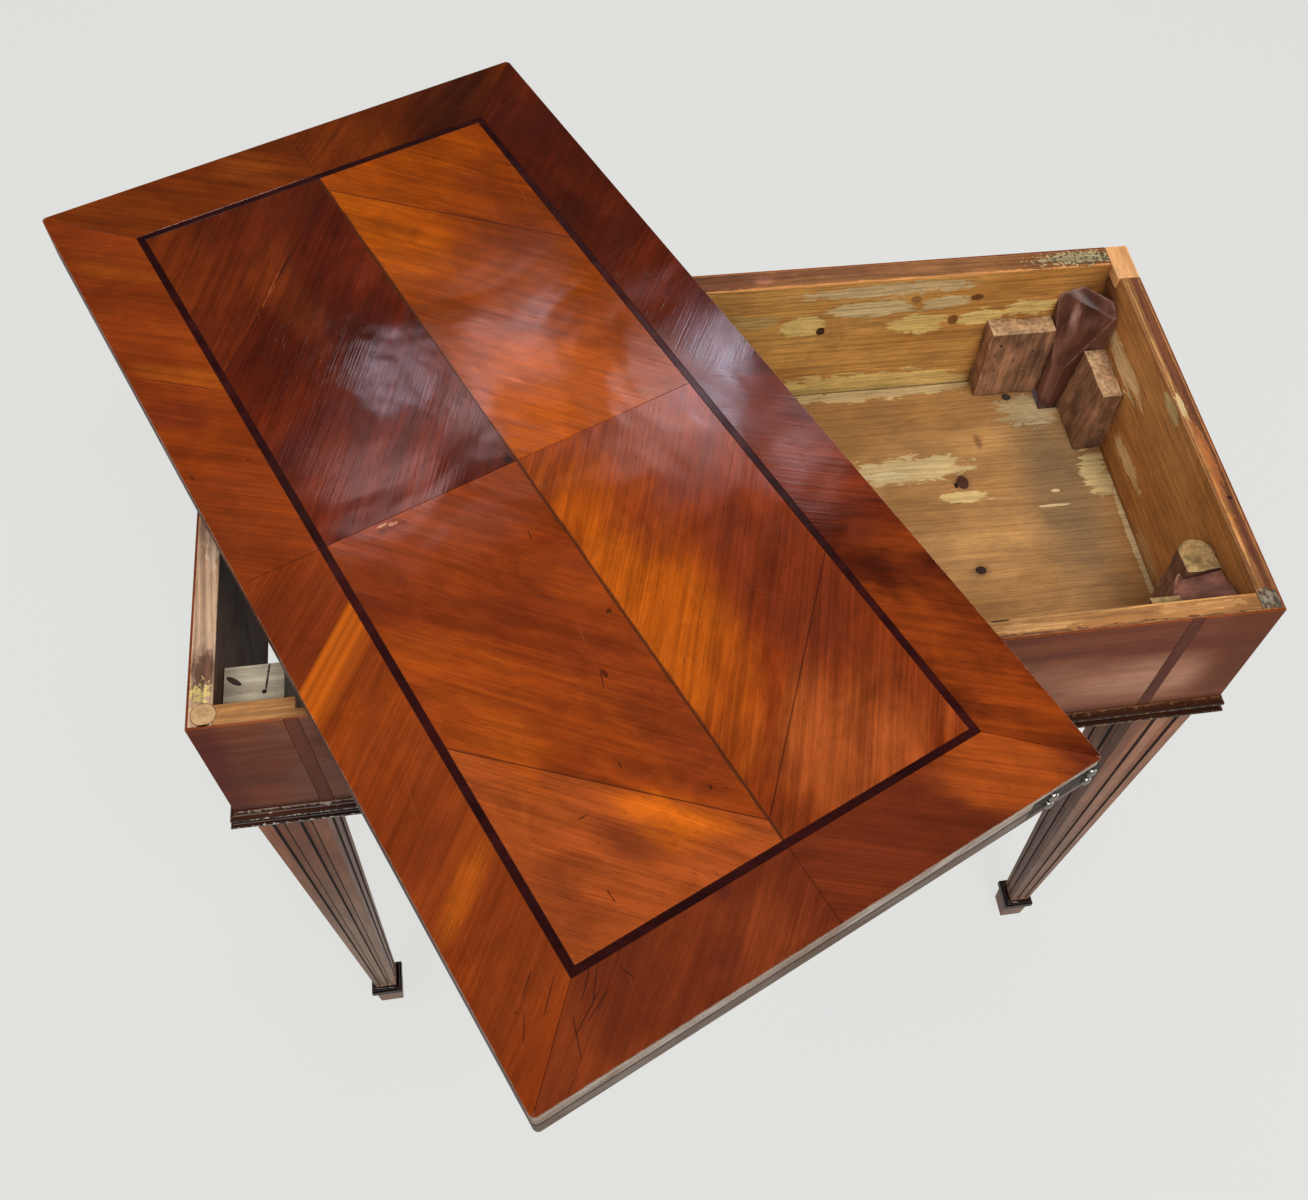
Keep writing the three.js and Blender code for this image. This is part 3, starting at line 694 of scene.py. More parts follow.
    def _mark(self) -> bpy.types.NodeTree:
        """Makes one mark round a centre: with a ragged edge, and with a soft one.

        Returns:
            The group.
        """
        recipe, given = self._open(
            "Mark",
            [
                ("Vector", "NodeSocketVector", (0.0, 0.0, 0.0)),
                ("Centre", "NodeSocketVector", (0.0, 0.0, 0.0)),
                ("Reach", "NodeSocketVector", (1.0, 1.0, 1.0)),
                ("Turn", "NodeSocketFloat", 0.0),
                ("Tear", "NodeSocketFloat", 0.5),
                ("Ragged", "NodeSocketFloat", 0.5),
            ],
            ["Sharp", "Soft"],
        )
        offset = recipe.vector_math("SUBTRACT", given["Vector"], given["Centre"])
        turned = recipe.node("ShaderNodeVectorRotate", rotation_type="Z_AXIS")
        recipe.feed(turned.inputs["Vector"], offset)
        recipe.feed(turned.inputs["Angle"], given["Turn"])
        offset = recipe.vector_math("DIVIDE", turned.outputs[0], given["Reach"])
        inside = recipe.less(1.0, recipe.vector_math("LENGTH", offset))
        torn = recipe.times(recipe.less(given["Tear"], 0.5), given["Ragged"])
        edge = recipe.plus(inside, recipe.times(torn, 6.0))
        return self._close(
            recipe, Sharp=recipe.spread(edge, 0.16, 0.24), Soft=recipe.spread(edge, -0.1, 0.75),
        )


@dataclass(frozen=True)
class Mark:
    """A mark on a surface, such as a knot, a patch of old paint, a repair, a change of tone, a painted
    highlight or painted shade.

    Attributes:
        centre: Its middle, in the coordinates of its surface.
        reach: Its half size along each axis.
        colour: Its colour.
        ragged: How ragged its edge is, from 0 to 1.
        strength: How much it covers, from 0 to 1.
        soft: Whether it fades out towards its edge.
        turn: Its turn in its plan, in degrees.
        flecked: Whether it is broken up into small flecks.
    """

    centre: tuple[float, float, float]
    reach: tuple[float, float, float]
    colour: Colour
    ragged: float = 0.5
    strength: float = 1.0
    soft: bool = False
    turn: float = 0.0
    flecked: bool = False


@dataclass(frozen=True)
class MarkedFace:
    """A flat face of the frame, on which a mark is placed by two coordinates.

    Attributes:
        axis: The axis across the face: 0, 1 or 2 for X, Y or Z.
        place: The face's place on that axis in the frame's own plan, or its depth below the rim.
        depth: How far its marks reach along that axis.
    """

    axis: int
    place: float
    depth: float

    def mark(
        self, first: float, second: float, reach_first: float, reach_second: float, colour: Colour,
        ragged: float = 0.5, strength: float = 1.0, soft: bool = False, turn: float = 0.0,
        flecked: bool = False,
    ) -> Mark:
        """Places a mark on the face.

        Args:
            first: Its place on the first of the face's two axes.
            second: Its place on the second one, which for Z is its depth below the rim.
            reach_first: Its half size along the first axis.
            reach_second: Its half size along the second axis.
            colour: Its colour.
            ragged: How ragged its edge is, from 0 to 1.
            strength: How much it covers, from 0 to 1.
            soft: Whether it fades out towards its edge.
            turn: Its turn in its plan, in degrees.
            flecked: Whether it is broken up into small flecks.

        Returns:
            The mark.
        """
        centre, reach = [first, second], [reach_first, reach_second]
        centre.insert(self.axis, self.place)
        reach.insert(self.axis, self.depth)
        return Mark(PLAN.point(*centre), tuple(reach), colour, ragged, strength, soft, turn, flecked)


class Finish:
    """A finish: a material and the parts that all finishes share."""

    def __init__(self, name: str, effects: Effects) -> None:
        """Starts a material.

        Args:
            name: The material's name.
            effects: The shared effects.
        """
        self.effects = effects
        self.material = bpy.data.materials.new(name)
        self.material.use_nodes = True
        self.recipe = Recipe(self.material.node_tree)
        self.shader = self.recipe.node("ShaderNodeBsdfPrincipled")
        out = self.recipe.node("ShaderNodeOutputMaterial")
        self.recipe.feed(out.inputs["Surface"], self.shader.outputs[0])
        self.place = self.recipe.node("ShaderNodeTexCoord").outputs["Object"]

    def set(self, **values: Input) -> None:
        """Feeds the shader's sockets, whose names have _ for a space."""
        for key, value in values.items():
            self.recipe.feed(self.shader.inputs[key.replace("_", " ")], value)

    def leaf_plan(self) -> Socket:
        """Gives the coordinates in the leaf's own plan."""
        inverse = PLAN.leaf_matrix().inverted()
        return self.recipe.placed(self.place, inverse.translation, inverse.to_euler())

    def marked(self, colour: Input, vector: Input, tear: Input, marks: Sequence[Mark]) -> Socket:
        """Lays marks over a colour.

        Args:
            colour: The colour below.
            vector: The coordinates that the marks are placed in.
            tear: Noise from 0 to 1 that gives their edges.
            marks: The marks, from the lowest up.

        Returns:
            The marked colour.
        """
        recipe = self.recipe
        flecks = recipe.cloud(vector, 300.0, 3.0, 0.6) if any(mark.flecked for mark in marks) else 0.5
        for mark in marks:
            spot = recipe.effect(
                self.effects.mark, Vector=vector, Centre=mark.centre, Reach=mark.reach,
                Turn=math.radians(-mark.turn), Tear=flecks if mark.flecked else tear, Ragged=mark.ragged,
            )
            cover = recipe.spread(tear, 0.4, 0.5, 1.0 - 0.35 * mark.ragged, 1.0)
            share = recipe.times(spot["Soft" if mark.soft else "Sharp"], mark.strength)
            colour = recipe.laid(colour, share, cover, mark.colour)
        return colour


@dataclass(frozen=True)
class PolishedWood:
    """A polished wood: apron veneers, mouldings, legs and inlay.

    Attributes:
        name: The finish's name.
        dark: Colour of the darker figure.
        light: Colour of the lighter figure.
        worn: Colour where the edges are worn.
        axis: The grain's direction.
        lines: Grain lines to the metre.
        gloss: Roughness of the clean polish.
        wear: Width of the worn edges.
        wear_share: How strongly the edges are worn.
        marks: Marks and changes of tone on the surface, with painted sheen, glints, highlights and shade.
        wave: Depth of the surface's slow waviness.
        shine: Specular level of the polish.
        figured: How strongly the figure shows across the grain.
        hollow_shade_and_dirt: How strongly the hollows are darkened, as painted shade and dirt.
    """

    name: str
    dark: Colour
    light: Colour
    worn: Colour
    axis: GrainAxis
    lines: float = 420.0
    gloss: float = 0.16
    wear: float = 0.0012
    wear_share: float = 0.6
    marks: tuple[Mark, ...] = ()
    wave: float = 0.0005
    shine: float = 0.24
    figured: float = 0.2
    hollow_shade_and_dirt: float = 0.0

    def build(self, effects: Effects) -> bpy.types.Material:
        """Makes the material.

        Args:
            effects: The shared effects.

        Returns:
            The material.
        """
        finish = Finish(self.name, effects)
        recipe = finish.recipe
        along = recipe.placed(finish.place, turn=self.axis.value)
        grain = recipe.effect(effects.grain, Vector=along, Lines_per_metre=self.lines, Sway=0.012)
        grime = recipe.effect(effects.grime, Vector=finish.place, Scale=11.0)
        edges = recipe.effect(effects.worn_edges, Vector=finish.place, Width=self.wear, Breakup=0.75)
        scratches = recipe.effect(effects.scratches, Vector=along, Amount=0.4)
        flame = recipe.drawn(along, (3.0, 12.0, 12.0), 4.0, 0.55, 0.5)
        blend = recipe.plus(recipe.times(flame, 0.65), recipe.times(grain["Streaks"], 0.35))
        figure = recipe.mix(recipe.spread(blend, 0.3, 0.75), self.dark, self.light)
        colour = finish.marked(figure, finish.place, flame, self.marks)
        for label in ("Ribbon", "Mottle"):
            colour = recipe.shaded(colour, grain[label], 1.0 - self.figured, 1.0 + self.figured)
        deep = recipe.mix(0.5, colour, self.dark, "MULTIPLY")
        # Painted shade and dirt darken the hollows.
        if self.hollow_shade_and_dirt:
            hollows = recipe.effect(effects.hollows, Tear=flame, Distance=0.007)
            colour = recipe.laid(colour, hollows["Mask"], self.hollow_shade_and_dirt, deep)
        colour = recipe.laid(colour, grain["Lines"], 0.35, deep)
        colour = recipe.laid(colour, grain["Pores"], 0.6, deep)
        colour = recipe.laid(colour, grime["Smears"], 0.2, deep)
        colour = recipe.laid(colour, edges["Mask"], self.wear_share, self.worn)
        rough = recipe.plus(self.gloss, recipe.times(grime["Smears"], 0.1))
        rough = recipe.plus(rough, recipe.times(scratches["Mask"], 0.2))
        rough = recipe.plus(rough, recipe.times(edges["Mask"], 0.2))
        slow = recipe.bump(recipe.cloud(finish.place, 12.0, 2.0, 0.4), self.wave)
        normal = recipe.bump(recipe.less(grain["Lines"], grain["Pores"]), 0.000015, slow)
        finish.set(Base_Color=colour, Roughness=rough, Normal=normal, Specular_IOR_Level=self.shine)
        return finish.material


@dataclass(frozen=True)
class BareWood:
    """Bare, aged wood: rails, the well, glue blocks and repairs.

    Attributes:
        name: The finish's name.
        dark: Colour of the late wood.
        light: Colour of the early wood.
        dirt: Colour of stains.
        axis: The grain's direction.
        lines: Grain lines to the metre.
        contrast: How much darker the late wood is, from 0 to 1.
        dirt_share: How much of it is stained.
        marks: Knots, paint, glue, nail holes, and painted shadow, shade and light.
        worn: Colour of the worn edges.
        wear_share: How strongly the edges are worn.
        rough: Roughness.
        rings: How strongly the growth rings show.
        corner_shade_and_dirt: How strongly the corners are darkened, as painted shade and dirt.
        mottling: How strongly it is mottled.
    """

    name: str
    dark: Colour
    light: Colour
    dirt: Colour
    axis: GrainAxis
    lines: float = 260.0
    contrast: float = 0.35
    dirt_share: float = 0.4
    marks: tuple[Mark, ...] = ()
    worn: Colour = tone(214, 170, 110)
    wear_share: float = 0.35
    rough: float = 0.62
    rings: float = 0.07
    corner_shade_and_dirt: float = 0.75
    mottling: float = 0.10

    def build(self, effects: Effects) -> bpy.types.Material:
        """Makes the material.

        Args:
            effects: The shared effects.

        Returns:
            The material.
        """
        finish = Finish(self.name, effects)
        recipe = finish.recipe
        along = recipe.placed(finish.place, turn=self.axis.value)
        grain = recipe.effect(effects.grain, Vector=along, Lines_per_metre=self.lines, Sway=0.03)
        grime = recipe.effect(effects.grime, Vector=finish.place, Scale=16.0)
        edges = recipe.effect(effects.worn_edges, Vector=finish.place, Width=0.0016, Breakup=0.8)
        torn = recipe.drawn(along, (34.0, 110.0, 110.0), 8.0, 0.75, 1.2)
        stepped = recipe.drawn(along, (12.0, 300.0, 300.0), 4.0, 0.7, 0.3)
        tear = recipe.plus(recipe.times(torn, 0.8), recipe.times(stepped, 0.2))
        broad = recipe.drawn(along, (3.0, 9.0, 9.0), 3.0, 0.5, 0.8)
        figure = recipe.mix(recipe.spread(broad, 0.3, 0.7), self.light, self.dark)
        colour = recipe.laid(figure, grain["Streaks"], self.contrast * 0.4, self.dark)
        colour = recipe.laid(colour, grain["Rings"], self.rings, self.dirt)
        colour = recipe.laid(colour, grime["Smears"], self.dirt_share, self.dirt)
        colour = finish.marked(colour, finish.place, tear, self.marks)
        mottle = grain["Mottle"]
        fuzz = recipe.drawn(along, (60.0, 700.0, 700.0), 3.0, 0.65)
        colour = recipe.shaded(colour, mottle, 1.0 - self.mottling, 1.04 + self.mottling)
        colour = recipe.shaded(colour, fuzz, 0.92, 1.09)
        colour = recipe.shaded(colour, grain["Lines"], 1.1, 1.0 - self.contrast, 0.0, 1.0)
        deep = recipe.mix(0.75, colour, self.dirt, "MULTIPLY")
        colour = recipe.laid(colour, grime["Specks"], 0.6, deep)
        colour = recipe.laid(colour, grain["Pores"], 0.5, deep)
        # Painted shade and dirt darken the corners.
        hollows = recipe.effect(effects.hollows, Tear=tear, Distance=0.035)
        colour = recipe.laid(colour, hollows["Mask"], self.corner_shade_and_dirt, deep)
        colour = recipe.laid(colour, edges["Mask"], self.wear_share, self.worn)
        slow = recipe.bump(recipe.plus(mottle, tear), 0.0009)
        normal = recipe.bump(recipe.plus(fuzz, grain["Lines"]), 0.00012, slow)
        rough = recipe.plus(self.rough, recipe.times(grime["Smears"], 0.15))
        finish.set(Base_Color=colour, Roughness=rough, Normal=normal, Specular_IOR_Level=0.35)
        return finish.material


@dataclass(frozen=True)
class TopVeneer:
    """The glossy veneer on the top, with its grain laid out from the leaf's middle.

    Attributes:
        name: The finish's name.
        place: The part of the top.
        dark: Colour of the dark figure.
        middle: Colour of most of it.
        gold: Colour of the bright figure.
        seed: Picks one of many patterns.
        tones: Broad changes of tone, in the leaf's plan.
        beyond: Tone beyond the seam of a quarter of the field.
        strip: Colour of the one golden strip of a long border.
        stripes: How strongly the grain shows.
        marks: Small marks in the leaf's plan.
        seam: Distance of the field's seam from the leaf's middle.
        strip_width: Width of the border's strips.
    """

    name: str
    place: VeneerPlace
    dark: Colour
    middle: Colour
    gold: Colour
    seed: float
    tones: tuple[Mark, ...] = ()
    beyond: Optional[Colour] = None
    strip: Optional[Colour] = None
    stripes: float = 0.3
    marks: tuple[Mark, ...] = ()
    seam: float = 0.240
    strip_width: float = 0.094

    @property
    def grain_turn(self) -> float:
        """The grain's turn in radians in the mirrored plan: in the field a lozenge, in the border rays."""
        return math.radians(40.0 if self.place is VeneerPlace.FIELD else -50.0)

    def build(self, effects: Effects) -> bpy.types.Material:
        """Makes the material.

        Args:
            effects: The shared effects.

        Returns:
            The material.
        """
        finish = Finish(self.name, effects)
        recipe = finish.recipe
        plan = finish.leaf_plan()
        mirrored = recipe.vector_math("ABSOLUTE", plan)
        along = recipe.placed(
            mirrored, (self.seed, self.seed * 0.37, self.seed * 0.11), (0.0, 0.0, self.grain_turn),
        )
        grain = recipe.effect(effects.grain, Vector=along, Lines_per_metre=620.0, Sway=0.02)
        flame = recipe.drawn(along, (5.0, 14.0, 1.0), 4.0, 0.6, 0.7)
        broad = recipe.cloud(recipe.vector_math("ADD", plan, (self.seed, 0.0, 0.0)), 9.0, 3.0, 0.5, 0.5)
        grime = recipe.effect(effects.grime, Vector=plan, Scale=8.0)
        figure = recipe.plus(recipe.times(flame, 0.6), recipe.times(broad, 0.4))
        colour = recipe.ramp(figure, ((0.36, self.dark), (0.5, self.middle), (0.64, self.gold)))
        colour = self._beyond_seam(recipe, colour, mirrored)
        colour = finish.marked(colour, plan, flame, self.tones)
        colour = recipe.shaded(colour, grain["Ribbon"], 0.82, 1.2)
        colour = recipe.shaded(colour, grain["Mottle"], 0.83, 1.17)
        deep = recipe.mix(0.62, colour, self.dark, "MULTIPLY")
        colour = recipe.laid(colour, grain["Lines"], self.stripes * 1.6, deep)
        thick = recipe.drawn(along, (5.0, 260.0, 1.0), 2.0, 0.5)
        colour = recipe.mix(recipe.spread(thick, 0.5, 0.68, 0.0, self.stripes * 0.5), colour, deep)
        colour = recipe.laid(colour, grain["Pores"], 0.6, tone(60, 20, 10))
        scratches = recipe.effect(effects.scratches, Vector=plan, Amount=0.6)
        colour = recipe.laid(colour, scratches["Mask"], 0.15, tone(196, 116, 66))
        colour = self._seams(recipe, colour, plan, mirrored, along)
        tear = recipe.drawn(plan, (90.0, 90.0, 1.0), 4.0, 0.65, 0.4)
        colour = finish.marked(colour, plan, tear, self.marks)
        colour = recipe.laid(colour, grime["Specks"], 0.3, tone(50, 18, 10))
        edges = recipe.effect(effects.worn_edges, Vector=plan, Width=0.0008, Breakup=0.9)
        u, w, height = recipe.parts(mirrored)
        # The outer edges turn pale: partly wear, partly a painted highlight along their rounding. The joints
        # turn dark.
        outer = recipe.math("MAXIMUM", recipe.spread(u, 0.416, 0.418), recipe.spread(w, 0.213, 0.215))
        worn = recipe.mix(outer, tone(60, 26, 14), tone(232, 196, 164))
        colour = recipe.laid(colour, edges["Mask"], 0.6, worn)
        rough = recipe.plus(0.075, recipe.times(grime["Smears"], 0.07))
        rough = recipe.plus(rough, recipe.times(scratches["Mask"], 0.12))
        slow = recipe.bump(recipe.cloud(plan, 6.0, 3.0, 0.5, 0.6), 0.0018)
        pressed = recipe.bump(recipe.drawn(along, (18.0, 120.0, 1.0), 2.0, 0.5), 0.00005, slow)
        normal = recipe.bump(recipe.less(grain["Lines"], grain["Pores"]), 0.000012, pressed)
        finish.set(Base_Color=colour, Roughness=rough, Normal=normal, Specular_IOR_Level=0.3)
        return finish.material

    def _beyond_seam(self, recipe: Recipe, colour: Socket, mirrored: Socket) -> Socket:
        """Changes the tone beyond the seam that crosses a quarter of the field.

        Args:
            recipe: The material's recipe.
            colour: The colour below.
            mirrored: The leaf's plan, folded on its two middle lines.

        Returns:
            The colour.
        """
        if self.beyond is None:
            return colour
        u, w, height = recipe.parts(mirrored)
        reach = recipe.times(recipe.plus(u, w), math.sqrt(0.5))
        far = recipe.spread(reach, self.seam - 0.0004, self.seam + 0.0004, 0.0, 0.6)
        return recipe.mix(far, colour, self.beyond)

    def _seams(self, recipe: Recipe, colour: Socket, plan: Socket, mirrored: Socket, along: Socket) -> Socket:
        """Draws the seams between strips of veneer.

        Args:
            recipe: The material's recipe.
            colour: The colour below.
            plan: The leaf's plan.
            mirrored: The leaf's plan, folded on its two middle lines.
            along: The coordinates along and across the grain.

        Returns:
            The colour with its seams.
        """
        u, w, height = recipe.parts(mirrored)
        seam_tone = tone(52, 20, 12)
        if self.place is VeneerPlace.FIELD:
            reach = recipe.times(recipe.plus(u, w), math.sqrt(0.5))
            line = recipe.spread(
                recipe.math("ABSOLUTE", recipe.less(reach, self.seam)), 0.0003, 0.0009, 0.7, 0.0,
            )
            colour = recipe.mix(line, colour, seam_tone)
            wide = recipe.times(recipe.cloud(along, 60.0, 2.0, 0.5), 0.0036)
            crack = recipe.spread(recipe.math("DIVIDE", w, wide), 0.55, 1.0, 0.75, 0.0)
            return recipe.mix(crack, colour, tone(78, 40, 20))
        x, y, z = recipe.parts(along)
        strip = recipe.times(y, 1 / self.strip_width)
        number = recipe.math("FLOOR", strip)
        chance = recipe.node("ShaderNodeTexWhiteNoise", noise_dimensions="1D")
        recipe.feed(chance.inputs["W"], recipe.plus(number, self.seed))
        colour = recipe.laid(colour, chance.outputs["Value"], 0.4, self.dark)
        inside = recipe.less(strip, number)
        from_seam = recipe.math("MINIMUM", inside, recipe.less(1.0, inside))
        line = recipe.spread(from_seam, 0.003, 0.009, 0.2, 0.0)
        colour = recipe.mix(line, colour, seam_tone)
        if self.strip is not None:
            slant = math.radians(50.0)
            reach = recipe.less(recipe.times(w, math.cos(slant)), recipe.times(u, math.sin(slant)))
            near = recipe.spread(reach, 0.036, 0.050, 0.35, 0.8)
            here = recipe.times(near, recipe.spread(reach, 0.0634, 0.0642, 1.0, 0.0))
            here = recipe.times(here, recipe.spread(reach, 0.034, 0.036))
            on_right = recipe.spread(recipe.parts(plan)[0], 0.0, 0.001)
            striped = recipe.shaded(self.strip, recipe.drawn(along, (3.0, 240.0, 1.0), 4.0, 0.6), 0.62, 1.3)
            colour = recipe.laid(colour, here, on_right, striped)
        middle = u if self.place is VeneerPlace.LONG_BORDER else w
        return recipe.mix(recipe.spread(middle, 0.0002, 0.0008, 0.55, 0.0), colour, seam_tone)


@dataclass(frozen=True)
class Cloth:
    """The woollen cloth inside the leaves.

    Attributes:
        name: The finish's name.
        deep: Colour in the weave's hollows and where the cloth is rubbed dark.
        bright: Colour of the nap.
    """

    name: str
    deep: Colour
    bright: Colour

    def build(self, effects: Effects) -> bpy.types.Material:
        """Makes the material.

        Args:
            effects: The shared effects.

        Returns:
            The material.
        """
        finish = Finish(self.name, effects)
        recipe = finish.recipe
        nap = recipe.cloud(finish.place, 900.0, 3.0, 0.7)
        threads = recipe.cloud(finish.place, 380.0, 2.0, 0.5, 1.2)
        grime = recipe.effect(effects.grime, Vector=finish.place, Scale=6.0)
        colour = recipe.mix(recipe.spread(nap, 0.3, 0.7), self.deep, self.bright)
        colour = recipe.laid(colour, grime["Smears"], 0.35, self.deep)
        colour = recipe.laid(colour, grime["Specks"], 0.3, tone(150, 146, 110))
        normal = recipe.bump(recipe.plus(nap, threads), 0.00025)
        finish.set(Base_Color=colour, Roughness=0.95, Normal=normal, Specular_IOR_Level=0.15)
        finish.set(Sheen_Weight=0.35, Sheen_Roughness=0.5)
        return finish.material


@dataclass(frozen=True)
class OldMetal:
    """Tarnished metal: hinge plates, pins, screws and the pivot.

    Attributes:
        name: The finish's name.
        bright: Colour of the rubbed metal.
        tarnish: Colour of the tarnish.
        tarnish_share: How much of it is tarnished, from 0 to 1.
        rough: Roughness of the rubbed metal.
    """

    name: str
    bright: Colour
    tarnish: Colour
    tarnish_share: float
    rough: float = 0.3

    def build(self, effects: Effects) -> bpy.types.Material:
        """Makes the material.

        Args:
            effects: The shared effects.

        Returns:
            The material.
        """
        finish = Finish(self.name, effects)
        recipe = finish.recipe
        grime = recipe.effect(effects.grime, Vector=finish.place, Scale=160.0)
        edges = recipe.effect(effects.worn_edges, Vector=finish.place, Width=0.0008, Breakup=0.4)
        cover = recipe.times(
            recipe.spread(grime["Smears"], 0.0, 0.7, self.tarnish_share * 0.6, 1.0), self.tarnish_share,
        )
        cover = recipe.math("SUBTRACT", cover, recipe.times(edges["Mask"], 0.5), clamp=True)
        colour = recipe.mix(cover, self.bright, self.tarnish)
        rough = recipe.plus(self.rough, recipe.times(cover, 0.3))
        metal = recipe.less(1.0, recipe.times(cover, 0.35))
        normal = recipe.bump(recipe.cloud(finish.place, 420.0, 3.0, 0.6), 0.00008)
        finish.set(Base_Color=colour, Roughness=rough, Metallic=metal, Normal=normal)
        return finish.material


@dataclass(frozen=True)
class LeafEdge:
    """The worn edge of a leaf, in which the layers of wood show.

    Attributes:
        name: The finish's name.
        pale: Colour of the worn wood.
        grey: Colour of the dirt on it.
        brown: Colour of the polish that is left.
        gap: Height of the gap between the folded leaves.
    """

    name: str
    pale: Colour
    grey: Colour
    brown: Colour
    gap: float = 0.7541

    def build(self, effects: Effects) -> bpy.types.Material:
        """Makes the material.

        Args:
            effects: The shared effects.

        Returns:
            The material.
        """
        finish = Finish(self.name, effects)
        recipe = finish.recipe
        plan = finish.leaf_plan()
        grain = recipe.effect(effects.grain, Vector=plan, Lines_per_metre=700.0, Sway=0.004)
        grime = recipe.effect(effects.grime, Vector=recipe.scaled(plan, (1.0, 1.0, 3.0)), Scale=20.0)
        edges = recipe.effect(effects.worn_edges, Vector=plan, Width=0.0016, Breakup=0.5)
        colour = recipe.mix(grain["Streaks"], self.pale, self.grey)
        colour = recipe.laid(colour, grain["Lines"], 0.4, self.brown)
        colour = recipe.laid(colour, grime["Smears"], 0.6, self.brown)
        colour = recipe.laid(colour, edges["Mask"], 0.6, self.pale)
        bare = recipe.spread(recipe.parts(plan)[0], 0.405, 0.418, 0.12, 1.0)
        colour = recipe.mix(bare, recipe.mix(grain["Lines"], tone(92, 42, 26), tone(128, 66, 42)), colour)
        # Below the gap the lower leaf's edge is darker. Along the gap runs a dark line of painted shade.
        height = recipe.parts(finish.place)[2]
        colour = recipe.mix(
            recipe.spread(height, self.gap - 0.001, self.gap, 0.75, 0.0), colour, tone(106, 84, 70),
        )
        from_gap = recipe.math("ABSOLUTE", recipe.less(height, self.gap))
        colour = recipe.mix(recipe.spread(from_gap, 0.0014, 0.0028, 0.95, 0.0), colour, tone(36, 25, 22))
        rough = recipe.plus(0.32, recipe.times(grime["Smears"], 0.2))
        normal = recipe.bump(recipe.drawn(plan, (30.0, 200.0, 200.0), 3.0, 0.6), 0.0001)
        finish.set(Base_Color=colour, Roughness=rough, Normal=normal, Specular_IOR_Level=0.15)
        return finish.material


